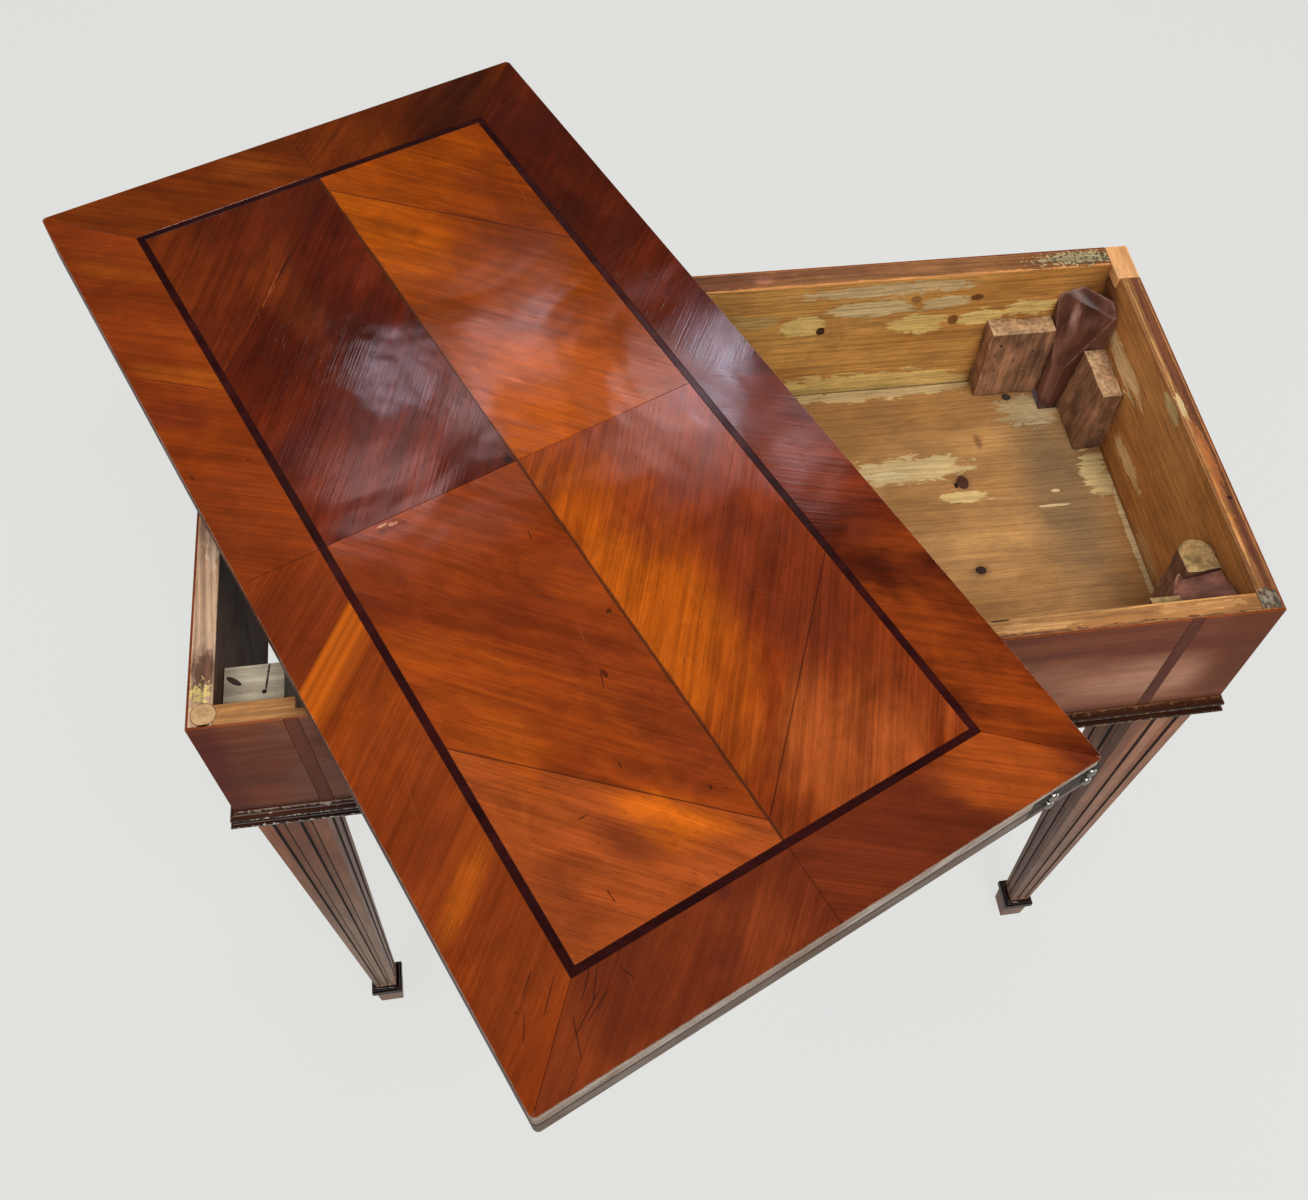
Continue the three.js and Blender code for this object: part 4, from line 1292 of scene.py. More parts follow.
class Finishes:
    """Every finish of the table, each made once."""

    def __init__(self) -> None:
        """Makes the materials."""
        self.effects = Effects()
        self._make_polished()
        self._make_bare()
        self._make_metal_and_cloth()
        self.veneers = self._veneers()

    def _make_polished(self) -> None:
        """Makes the polished woods."""
        at = PLAN.point
        on = MarkedFace(1, -0.197, 0.02).mark
        front = (
            on(-0.400, 0.07, 0.022, 0.12, tone(104, 24, 6), 0.3, 0.8, True),
            # Painted reflection: a pale pinkish sheen on the left part.
            on(-0.330, 0.08, 0.045, 0.08, tone(150, 96, 74), 0.4, 0.8, True),
            # Painted reflections: a pale pink sheen on the right part.
            on(0.230, 0.09, 0.115, 0.055, tone(190, 128, 96), 0.2, 0.75, True),
            on(0.330, 0.09, 0.080, 0.05, tone(228, 166, 132), 0.2, 0.85, True),
            on(0.290, 0.02, 0.110, 0.03, tone(140, 70, 40), 0.3, 0.6, True),
            on(0.392, 0.07, 0.040, 0.12, tone(124, 56, 4), 0.2, 1.0, True),
            # Painted shade: a dark strip just above the moulding.
            on(0.0, 0.139, 0.60, 0.016, tone(40, 16, 14), 0.1, 0.85, True),
        )
        self.apron_front = PolishedWood(
            "apron veneer, front", tone(122, 56, 26), tone(166, 94, 54), tone(176, 116, 76), GrainAxis.X,
            gloss=0.13, shine=0.15, marks=front, figured=0.1,
        ).build(self.effects)
        self.apron_side = PolishedWood(
            "apron veneer, ends", tone(110, 50, 26), tone(150, 82, 48), tone(176, 116, 76), GrainAxis.Y,
            gloss=0.14,
        ).build(self.effects)
        # Painted glints: pale flecked streaks along the moulding's beads stand in for highlights. The last
        # mark gives the collars their own black.
        bead_glints_and_collars = tuple(
            Mark(at(x, -0.2, drop), (0.17, 0.02, 0.0016), colour, 0.9, share, flecked=True)
            for x, colour in (
                (-0.3, tone(236, 224, 206)), (0.05, tone(214, 186, 150)), (0.33, tone(176, 132, 88)),
            )
            for drop, share in ((0.1395, 0.5), (0.1475, 0.85), (0.1560, 0.8))
        ) + (Mark(at(0.0, 0.0, 0.692), (1.0, 1.0, 0.03), tone(22, 14, 13), 0.1, 0.9, True),)
        self.moulding = PolishedWood(
            "dark moulding", tone(34, 14, 9), tone(84, 42, 22), tone(176, 124, 82), GrainAxis.X, gloss=0.09,
            wear=0.0008, wear_share=0.6, shine=0.36, wave=0.0012, marks=bead_glints_and_collars,
        ).build(self.effects)
        self.inlay = PolishedWood(
            "dark inlay", tone(40, 12, 12), tone(58, 20, 18), tone(80, 40, 28), GrainAxis.X, gloss=0.14,
            wear_share=0.1, wave=0.001, shine=0.12,
        ).build(self.effects)
        self.band = PolishedWood(
            "band veneer", tone(96, 44, 26), tone(128, 66, 42), tone(120, 76, 52), GrainAxis.Z, gloss=0.13,
            wear_share=0.1, shine=0.12, figured=0.1,
        ).build(self.effects)
        leg_sheen_and_tone = (
            # Painted sheen: the front left leg's lower part is lightened as if lit from the pale floor. The
            # front right leg's lower part is lightened in tone.
            Mark(at(-0.371, -0.164, 0.56), (0.07, 0.07, 0.34), tone(216, 188, 166), 0.1, 0.6, True),
            Mark(at(0.371, -0.164, 0.62), (0.07, 0.07, 0.40), tone(176, 144, 128), 0.1, 0.7, True),
        )
        self.leg = PolishedWood(
            "leg wood", tone(146, 88, 60), tone(206, 142, 106), tone(214, 164, 130), GrainAxis.Z, gloss=0.28,
            wear=0.0009, shine=0.26, figured=0.14, hollow_shade_and_dirt=0.8, marks=leg_sheen_and_tone,
        ).build(self.effects)
        # Painted shade: a near-black finish for the flutes' steep walls, where shade falls in them.
        self.flute_shade = PolishedWood(
            "painted shade in the flutes", tone(30, 18, 14), tone(62, 42, 34), tone(110, 80, 62), GrainAxis.Z,
            gloss=0.5,
        ).build(self.effects)
        self.leaf_inside = PolishedWood(
            "leaf margin", tone(110, 48, 24), tone(160, 82, 42), tone(190, 130, 84), GrainAxis.X, gloss=0.2,
        ).build(self.effects)
        worn_edge = LeafEdge("worn leaf edge", tone(242, 228, 212), tone(208, 188, 170), tone(136, 98, 76))
        self.leaf_edge = worn_edge.build(self.effects)

    def _make_bare(self) -> None:
        """Makes the bare woods."""
        self._make_walls()
        self._make_rims()
        at = PLAN.point
        cream, knot = tone(212, 188, 130), tone(74, 42, 22)
        on = MarkedFace(2, 0.144, 0.02).mark
        bottom = (
            # Painted shadow: a greyer zone along the right of the well's bottom, as cast by the right rail.
            on(0.335, 0.03, 0.052, 0.16, tone(128, 102, 68), 0.12, 0.85, True),
            on(0.19, 0.169, 0.12, 0.010, tone(204, 180, 130), 0.6, 0.85),
            on(0.194, 0.072, 0.075, 0.017, tone(216, 190, 134), 0.5, 0.9),
            on(0.170, 0.068, 0.030, 0.005, tone(222, 202, 150), 0.5, 0.9),
            on(0.238, 0.036, 0.030, 0.008, tone(218, 190, 126), 0.5, 0.9),
            on(0.330, 0.132, 0.036, 0.022, tone(190, 168, 124), 0.6, 0.8),
            on(0.372, 0.048, 0.018, 0.032, cream, 0.5, 0.9),
            on(0.384, -0.04, 0.005, 0.09, tone(206, 184, 136), 0.3, 0.9),
            on(0.322, 0.0175, 0.018, 0.0018, tone(222, 196, 146), 0.3, 0.9),
            on(0.328, 0.034, 0.005, 0.002, tone(222, 196, 146), 0.3, 0.9),
            on(0.270, 0.099, 0.005, 0.011, tone(112, 74, 42), 0.15, 0.7, True),
            on(0.243, 0.053, 0.011, 0.013, tone(128, 88, 50), 0.1, 0.8, True),
            on(0.243, 0.053, 0.0072, 0.0095, knot, 0.1),
            on(0.236, 0.050, 0.0022, 0.004, tone(30, 16, 10), 0.1),
            on(0.235, -0.045, 0.010, 0.009, tone(120, 84, 50), 0.1, 0.8, True),
            on(0.235, -0.045, 0.0062, 0.0055, tone(56, 32, 20), 0.1),
            on(0.312, 0.150, 0.006, 0.005, tone(34, 34, 40), 0.3, 0.9),
            # Painted light: a pale patch for the bright floor seen through the gap by the back right stump.
            on(0.352, 0.143, 0.0085, 0.0075, tone(236, 228, 204), 0.3, 0.95, turn=20.0),
            on(0.352, 0.143, 0.010, 0.0008, tone(60, 40, 30), 0.1, 0.9, turn=20.0),
            on(0.30, 0.10, 0.10, 0.0004, tone(70, 44, 24), 0.3, 0.5),
            on(0.25, -0.10, 0.15, 0.0005, tone(70, 44, 24), 0.3, 0.6),
            on(0.20, 0.1745, 0.30, 0.0016, tone(52, 40, 26), 0.3, 0.8),
        )
        self.well = BareWood(
            "well pine", tone(162, 116, 62), tone(202, 152, 92), tone(128, 92, 50), GrainAxis.X, lines=420.0,
            contrast=0.15, dirt_share=0.3, marks=bottom, wear_share=0.2,
        ).build(self.effects)
        holes = tuple(
            Mark(at(x, y, drop), (0.0018, 0.0018, 0.0018), tone(34, 20, 12), 0.05)
            for x, y, drop in (
                (0.292, 0.155, 0.075), (0.292, 0.155, 0.108), (0.325, 0.155, 0.085), (0.322, 0.155, 0.112),
                (0.308, 0.155, 0.095), (0.358, 0.112, 0.10), (0.358, 0.095, 0.085), (0.358, 0.13, 0.12),
            )
        )
        self.block = BareWood(
            "glue block wood", tone(134, 88, 62), tone(188, 140, 104), tone(78, 50, 36), GrainAxis.Z,
            dirt_share=0.65, contrast=0.3, mottling=0.35, marks=holes, worn=tone(200, 158, 112),
        ).build(self.effects)
        self.block_end = BareWood(
            "glue block end grain", tone(192, 146, 100), tone(228, 190, 144), tone(128, 88, 56), GrainAxis.Z,
            dirt_share=0.55, worn=tone(228, 196, 152), mottling=0.3,
        ).build(self.effects)
        self.straw_end = BareWood(
            "round block end grain", tone(184, 154, 96), tone(218, 192, 134), tone(126, 92, 52), GrainAxis.Z,
            dirt_share=0.85, worn=tone(236, 216, 170), mottling=0.35,
        ).build(self.effects)
        self.fresh = BareWood(
            "fresh wood", tone(226, 166, 104), tone(242, 194, 138), tone(206, 136, 76), GrainAxis.Y,
            dirt_share=0.3, worn=tone(250, 206, 160),
        ).build(self.effects)
        self.plug = BareWood(
            "plug wood", tone(188, 150, 104), tone(214, 178, 130), tone(150, 112, 70), GrainAxis.Z,
            dirt_share=0.3, contrast=0.15,
        ).build(self.effects)
        on = MarkedFace(2, 0.024, 0.02).mark
        stump_marks = (
            on(-0.379, -0.1485, 0.0078, 0.0028, tone(60, 44, 40), 0.1, turn=-35.0),
            on(-0.3555, -0.149, 0.0010, 0.013, tone(54, 44, 36), 0.5, turn=-6.0),
            on(-0.3575, -0.1595, 0.0022, 0.0022, tone(34, 26, 22), 0.1),
        )
        self.sawn_stump = BareWood(
            "sawn stump", tone(156, 142, 118), tone(200, 188, 164), tone(108, 98, 82), GrainAxis.X,
            dirt_share=0.4, marks=stump_marks, contrast=0.2,
        ).build(self.effects)
        # Painted highlights: pale pinkish streaks on the back right stump's hewn facet and upper part. The
        # domed stumps' wide pale edges are partly wear and partly a painted highlight on their ridges.
        stump_highlights = (
            Mark(at(0.357, 0.162, 0.060), (0.007, 0.012, 0.035), tone(214, 168, 154), 0.4, 0.85, True),
            Mark(at(0.371, 0.150, 0.045), (0.012, 0.008, 0.012), tone(150, 104, 88), 0.4, 0.7, True),
        )
        self.domed_stump = PolishedWood(
            "domed stump", tone(80, 46, 34), tone(140, 92, 74), tone(196, 150, 130), GrainAxis.Z, gloss=0.24,
            shine=0.45, wave=0.002, wear=0.0045, marks=stump_highlights,
        ).build(self.effects)
        self.leaf_under = BareWood(
            "leaf underside", tone(112, 74, 42), tone(156, 112, 66), tone(80, 52, 30), GrainAxis.X,
        ).build(self.effects)

    def _make_walls(self) -> None:
        """Makes the inner faces of the rails, with what is left of old paint and glue on them, and painted
        shade in the back right corner.
        """
        grey_cream, cream, yellow = tone(212, 186, 136), tone(222, 198, 144), tone(236, 206, 126)
        on = MarkedFace(1, 0.175, 0.03).mark
        back = (
            on(0.055, 0.041, 0.034, 0.011, tone(196, 164, 100), 0.45, 0.8),
            on(0.182, 0.012, 0.095, 0.010, grey_cream, 0.5, 0.9),
            on(0.165, 0.034, 0.050, 0.011, cream, 0.5, 0.9),
            on(0.236, 0.033, 0.028, 0.009, cream, 0.5, 0.85),
            on(0.104, 0.050, 0.026, 0.017, yellow, 0.45, 0.95),
            on(0.214, 0.058, 0.032, 0.015, tone(232, 202, 122), 0.5, 0.95),
            on(0.272, 0.055, 0.026, 0.013, yellow, 0.45, 0.95),
            on(0.318, 0.047, 0.030, 0.012, yellow, 0.5, 0.95),
            on(0.175, 0.138, 0.125, 0.022, tone(232, 202, 124), 0.5, 0.95),
            on(0.290, 0.128, 0.020, 0.02, tone(130, 98, 56), 0.3, 0.6, True),
            on(0.121, 0.058, 0.0052, 0.0062, tone(66, 38, 22), 0.1),
            on(0.264, 0.029, 0.0075, 0.005, tone(110, 62, 30), 0.12, 0.9),
            on(0.246, 0.056, 0.006, 0.008, tone(126, 82, 40), 0.12, 0.9),
            on(0.206, 0.026, 0.0065, 0.005, tone(134, 92, 50), 0.12, 0.8),
        )
        self.back_wall = BareWood(
            "rail wood, long", tone(190, 130, 60), tone(222, 168, 90), tone(146, 98, 46), GrainAxis.X,
            lines=380.0, contrast=0.25, dirt_share=0.3, marks=back, wear_share=0.25,
        ).build(self.effects)
        on = MarkedFace(0, 0.387, 0.03).mark
        right = (
            on(0.095, 0.051, 0.052, 0.015, tone(236, 206, 150), 0.5, 0.95),
            on(0.030, 0.108, 0.038, 0.011, tone(228, 194, 138), 0.5, 0.95),
            on(0.012, 0.008, 0.020, 0.010, tone(214, 190, 130), 0.5, 0.9),
            on(-0.055, 0.136, 0.040, 0.010, tone(196, 168, 112), 0.6, 0.6),
            # Painted shade: darker in the back top corner, next to the back right stump.
            on(0.158, 0.05, 0.030, 0.06, tone(84, 52, 30), 0.3, 0.7, True),
        )
        self.right_wall = BareWood(
            "rail wood, right end", tone(186, 122, 60), tone(214, 152, 86), tone(146, 94, 50), GrainAxis.Y,
            lines=380.0, contrast=0.22, dirt_share=0.3, marks=right, wear_share=0.25,
        ).build(self.effects)
        self.dark_rail = BareWood(
            "aged rail wood", tone(84, 56, 36), tone(128, 90, 60), tone(58, 38, 24), GrainAxis.Y, lines=300.0,
            worn=tone(120, 86, 56),
        ).build(self.effects)

    def _make_rims(self) -> None:
        """Makes the tops of the rails."""
        on = MarkedFace(2, 0.0, 0.01).mark
        back = (
            on(0.02, 0.185, 0.10, 0.02, tone(112, 62, 36), 0.3, 0.8, True),
            on(0.066, 0.186, 0.012, 0.006, tone(196, 128, 96), 0.2, 0.7, True),
            on(0.12, 0.190, 0.12, 0.008, tone(104, 62, 38), 0.3, 0.7, True),
            on(0.357, 0.186, 0.036, 0.009, tone(92, 80, 58), 0.5, 0.9),
            on(0.352, 0.186, 0.034, 0.008, tone(204, 188, 138), 0.9, 0.7, flecked=True),
            on(0.10, 0.1755, 0.34, 0.0022, tone(222, 150, 80), 0.6, 0.8),
        )
        self.back_rim = BareWood(
            "rim, back rail", tone(136, 86, 44), tone(172, 116, 66), tone(98, 60, 32), GrainAxis.X,
            rough=0.42, worn=tone(226, 176, 116), wear_share=0.6, marks=back,
        ).build(self.effects)
        front = (
            on(0.10, -0.1805, 0.34, 0.0018, tone(214, 158, 92), 0.2, 0.8),
            on(0.20, -0.1950, 0.24, 0.0026, tone(96, 54, 30), 0.9, 0.9),
            on(0.21, -0.188, 0.040, 0.005, tone(206, 158, 98), 0.8, 0.6),
            on(0.34, -0.186, 0.050, 0.004, tone(206, 150, 92), 0.8, 0.7),
            on(0.180, -0.1802, 0.011, 0.0011, tone(40, 26, 18), 0.3, 0.95),
        )
        self.front_rim = BareWood(
            "rim, front rail", tone(160, 108, 56), tone(192, 136, 78), tone(122, 78, 40), GrainAxis.X,
            rough=0.42, worn=tone(226, 180, 120), wear_share=0.5, marks=front,
        ).build(self.effects)
        right = (
            on(0.3975, 0.0, 0.0052, 0.30, tone(112, 62, 38), 0.2, 0.9),
            on(0.3905, 0.02, 0.0014, 0.22, tone(214, 154, 92), 0.8, 0.8),
            on(0.392, -0.186, 0.0135, 0.0115, tone(88, 76, 62), 0.5, 0.95),
            on(0.392, -0.186, 0.009, 0.007, tone(160, 148, 126), 0.9, 0.6, flecked=True),
            on(0.391, 0.012, 0.004, 0.020, tone(226, 198, 140), 0.8, 0.9),
            on(0.394, -0.06, 0.006, 0.05, tone(186, 112, 54), 0.8, 0.7),
            on(0.398, -0.09, 0.003, 0.003, tone(50, 28, 18), 0.3, 0.9),
        )
        self.right_rim = BareWood(
            "rim, right rail", tone(150, 98, 52), tone(182, 126, 72), tone(110, 70, 38), GrainAxis.Y,
            rough=0.4, worn=tone(224, 168, 104), wear_share=0.5, marks=right,
        ).build(self.effects)
        left = (
            on(-0.396, 0.02, 0.006, 0.10, tone(178, 122, 96), 0.3, 0.7, True),
            on(-0.394, -0.152, 0.016, 0.024, tone(92, 54, 36), 0.4, 0.9, True),
            on(-0.395, -0.170, 0.008, 0.009, tone(226, 200, 120), 0.9, 0.9, flecked=True),
            on(-0.390, 0.0, 0.012, 0.07, tone(216, 188, 160), 0.5, 0.7),
        )
        self.left_rim = BareWood(
            "rim, left rail", tone(196, 160, 128), tone(228, 198, 166), tone(160, 120, 92), GrainAxis.Y,
            rough=0.45, worn=tone(224, 184, 132), wear_share=0.5, marks=left,
        ).build(self.effects)

    def _make_metal_and_cloth(self) -> None:
        """Makes the metals and the cloth."""
        self.baize = Cloth("green baize", tone(34, 62, 34), tone(62, 104, 56)).build(self.effects)
        hinge_metal = OldMetal("tarnished hinge metal", tone(96, 88, 76), tone(40, 34, 30), 0.7, 0.36)
        self.brass = hinge_metal.build(self.effects)
        screw_metal = OldMetal("screw metal", tone(206, 200, 188), tone(90, 84, 74), 0.35, 0.22)
        self.screw = screw_metal.build(self.effects)
        self.iron = OldMetal("old iron", tone(110, 106, 102), tone(52, 40, 34), 0.8, 0.4).build(self.effects)

    def _veneers(self) -> dict[str, bpy.types.Material]:
        """Makes the veneers of the top.

        Returns:
            The materials, by CAD node.
        """
        inside, long_side, short_side = VeneerPlace.FIELD, VeneerPlace.LONG_BORDER, VeneerPlace.SHORT_BORDER

        def shade(
            u: float, w: float, reach_u: float, reach_w: float, colour: Colour, strength: float = 0.7,
            turn: float = 0.0
        ) -> Mark:
            """Gives a broad change of tone in the leaf's plan."""
            return Mark((u, w, 0.04), (reach_u, reach_w, 1.0), colour, 0.5, strength, True, turn)

        def nick(
            u: float, w: float, reach_u: float, reach_w: float, colour: Colour = tone(60, 24, 12)
        ) -> Mark:
            """Gives a small mark in the leaf's plan."""
            return Mark((u, w, 0.04), (reach_u, reach_w, 1.0), colour, 0.6, 0.75)

        def scratch(u: float, w: float, reach: float, turn: float) -> Mark:
            """Gives a fine dark scratch in the leaf's plan."""
            return Mark((u, w, 0.04), (reach, 0.0005, 1.0), tone(46, 20, 14), 0.12, 0.8, turn=turn)

        finishes = {
            "field_veneer_back_left": TopVeneer(
                "field veneer, back left", inside, tone(122, 50, 2), tone(146, 64, 2), tone(176, 84, 6), 1.7,
                beyond=tone(140, 58, 4), stripes=0.3,
                tones=(
                    shade(-0.23, 0.13, 0.08, 0.045, tone(112, 44, 8)),
                    shade(-0.19, 0.08, 0.06, 0.03, tone(118, 48, 6), 0.5),
                    shade(-0.05, 0.05, 0.09, 0.09, tone(188, 86, 4), 0.8),
                    shade(-0.05, 0.14, 0.08, 0.03, tone(120, 50, 16), 0.6),
                ),
            ),
            "field_veneer_back_right": TopVeneer(
                "field veneer, back right", inside, tone(100, 36, 10), tone(126, 48, 12), tone(150, 62, 18),
                4.1, beyond=tone(126, 52, 18), stripes=0.3,
                tones=(
                    shade(0.14, 0.015, 0.18, 0.05, tone(180, 86, 12), 0.9),
                    shade(0.04, 0.05, 0.06, 0.05, tone(160, 70, 12), 0.6),
                    shade(0.32, 0.09, 0.06, 0.08, tone(168, 82, 34), 0.8),
                    shade(0.20, 0.12, 0.09, 0.05, tone(104, 40, 20), 0.7),
                    shade(0.092, 0.057, 0.045, 0.035, tone(140, 60, 20), 0.85),
                    shade(0.03, 0.09, 0.035, 0.035, tone(104, 42, 16), 0.6),
                ),
            ),
            "field_veneer_front_left": TopVeneer(
                "field veneer, front left", inside, tone(68, 20, 6), tone(88, 28, 9), tone(112, 40, 12), 2.3,
                beyond=tone(100, 38, 10), stripes=0.3,
                tones=(
                    shade(-0.24, -0.08, 0.10, 0.03, tone(116, 48, 12)),
                    shade(-0.30, -0.13, 0.09, 0.05, tone(128, 52, 12), 0.6),
                    shade(-0.33, -0.03, 0.04, 0.05, tone(78, 26, 8), 0.6),
                ),
                marks=(
                    nick(-0.006, -0.004, 0.0065, 0.0028, tone(24, 12, 10)),
                    nick(-0.0042, -0.0065, 0.004, 0.003, tone(24, 12, 10)),
                    Mark(
                        (-0.252, -0.088, 0.04), (0.024, 0.0014, 1.0), tone(150, 72, 32), 0.5, 0.7, turn=-43.0,
                    ),
                    Mark((-0.270, -0.070, 0.04), (0.026, 0.0008, 1.0), tone(40, 14, 8), 0.3, 0.8, turn=-45.0),
                    scratch(-0.047, -0.112, 0.006, 60.0), scratch(-0.053, -0.118, 0.004, -30.0),
                ),
            ),
            "field_veneer_front_right": TopVeneer(
                "field veneer, front right", inside, tone(116, 44, 12), tone(140, 58, 14), tone(160, 70, 16),
                6.4, beyond=tone(158, 76, 32), stripes=0.24,
                tones=(
                    shade(0.03, -0.05, 0.05, 0.08, tone(130, 60, 34), 0.7),
                    shade(0.300, -0.056, 0.075, 0.020, tone(208, 102, 14), 0.85, 40.0),
                    shade(0.300, -0.090, 0.035, 0.022, tone(120, 50, 26), 0.5),
                    shade(0.25, -0.02, 0.09, 0.03, tone(116, 46, 16)),
                    shade(0.20, -0.11, 0.06, 0.03, tone(166, 76, 16)),
                ),
                marks=(
                    nick(0.0085, -0.108, 0.0030, 0.014, tone(92, 38, 18)),
                    nick(0.0065, -0.105, 0.0022, 0.006, tone(196, 140, 96)),
                    nick(0.0035, -0.112, 0.0012, 0.004, tone(206, 150, 104)),
                    scratch(0.065, -0.0245, 0.0075, -13.0), scratch(0.195, -0.040, 0.0090, -20.0),
                    nick(0.192, -0.036, 0.004, 0.0014), nick(0.150, -0.008, 0.0022, 0.0020),
                    nick(0.300, -0.020, 0.0020, 0.0014), nick(0.275, -0.10, 0.0008, 0.005),
                    nick(0.255, -0.062, 0.0035, 0.0008), nick(0.33, -0.112, 0.005, 0.0007),
                ),
            ),
            "border_veneer_back": TopVeneer(
                "border veneer, back", long_side, tone(64, 20, 6), tone(84, 27, 8), tone(108, 38, 10), 3.3,
                stripes=0.28,
                tones=(
                    shade(0.30, 0.19, 0.16, 0.08, tone(174, 75, 18), 0.95),
                    shade(0.12, 0.19, 0.10, 0.06, tone(126, 48, 18), 0.8),
                    shade(-0.24, 0.19, 0.06, 0.03, tone(112, 42, 14), 0.6),
                ),
                marks=(
                    Mark((0.187, 0.187, 0.04), (0.013, 0.018, 1.0), tone(124, 54, 24), 0.12, 0.5, True),
                    Mark((0.187, 0.187, 0.04), (0.009, 0.013, 1.0), tone(96, 34, 14), 0.12, 0.7, True),
                ),
            ),
            "border_veneer_front": TopVeneer(
                "border veneer, front", long_side, tone(114, 44, 10), tone(134, 55, 12), tone(154, 68, 16),
                8.2, stripes=0.28, strip=tone(176, 84, 14),
                tones=(
                    shade(0.06, -0.19, 0.07, 0.06, tone(112, 44, 18), 0.8),
                    shade(0.28, -0.19, 0.16, 0.06, tone(128, 54, 18), 0.7),
                    shade(-0.06, -0.20, 0.06, 0.05, tone(130, 56, 22), 0.6),
                    shade(-0.330, -0.187, 0.05, 0.012, tone(156, 76, 14), 0.75, 50.0),
                    shade(-0.205, -0.185, 0.045, 0.010, tone(170, 84, 18), 0.75, 50.0),
                    shade(-0.170, -0.200, 0.03, 0.02, tone(108, 38, 18), 0.75, 50.0),
                    shade(0.285, -0.190, 0.045, 0.009, tone(180, 88, 18), 0.8, -50.0),
                    shade(0.245, -0.200, 0.03, 0.012, tone(108, 42, 18), 0.6, -50.0),
                ),
                marks=(
                    scratch(-0.038, -0.128, 0.010, 8.0), scratch(0.363, -0.174, 0.016, -44.0),
                    scratch(0.350, -0.182, 0.012, -46.0), nick(0.362, -0.196, 0.0012, 0.0012),
                    scratch(0.372, -0.196, 0.011, -30.0), nick(0.041, -0.146, 0.0008, 0.006),
                    nick(-0.10, -0.17, 0.0012, 0.0010), nick(-0.104, -0.211, 0.004, 0.0008),
                    scratch(-0.194, -0.1856, 0.038, 48.6),
                ),
            ),
            "border_veneer_left": TopVeneer(
                "border veneer, left", short_side, tone(102, 40, 6), tone(124, 54, 8), tone(150, 70, 12), 5.6,
                stripes=0.28,
                tones=(
                    shade(-0.39, 0.13, 0.12, 0.14, tone(34, 6, 2), 1.0),
                    shade(-0.36, 0.02, 0.03, 0.04, tone(92, 32, 10), 0.6),
                    shade(-0.40, -0.055, 0.03, 0.05, tone(150, 74, 16)),
                ),
            ),
            "border_veneer_right": TopVeneer(
                "border veneer, right", short_side, tone(96, 38, 16), tone(118, 48, 20), tone(138, 60, 22),
                7.9, stripes=0.28,
                tones=(
                    shade(0.39, 0.16, 0.05, 0.06, tone(182, 84, 24), 0.95),
                    shade(0.39, 0.06, 0.05, 0.06, tone(108, 42, 20)),
                    shade(0.39, -0.05, 0.04, 0.03, tone(132, 58, 24), 0.8),
                    shade(0.38, -0.13, 0.05, 0.04, tone(92, 36, 16), 0.8),
                    shade(0.402, -0.0745, 0.014, 0.016, tone(72, 28, 26), 0.85),
                    shade(0.364, -0.050, 0.012, 0.012, tone(80, 30, 26), 0.8),
                ),
                marks=(
                    scratch(0.366, -0.150, 0.020, -42.0), scratch(0.372, -0.148, 0.017, -36.0),
                    scratch(0.3835, -0.152, 0.016, -64.0), scratch(0.384, -0.160, 0.021, -58.0),
                    scratch(0.392, -0.172, 0.018, -18.0), scratch(0.376, -0.128, 0.007, 20.0),
                ),
            ),
        }
        return {node: finish.build(self.effects) for node, finish in finishes.items()}


# The table


def paint(bm: bmesh.types.BMesh, number: int, wanted: Callable[[bmesh.types.BMFace], bool]) -> None:
    """Gives some faces another finish.

    Args:
        bm: The mesh.
        number: The finish's number among the piece's materials.
        wanted: Whether a face gets it.
    """
    bm.normal_update()
    for face in bm.faces:
        if wanted(face):
            face.material_index = number


def convex(edge: bmesh.types.BMEdge) -> bool:
    """Tells an outer edge from an inner one."""
    return edge.is_convex


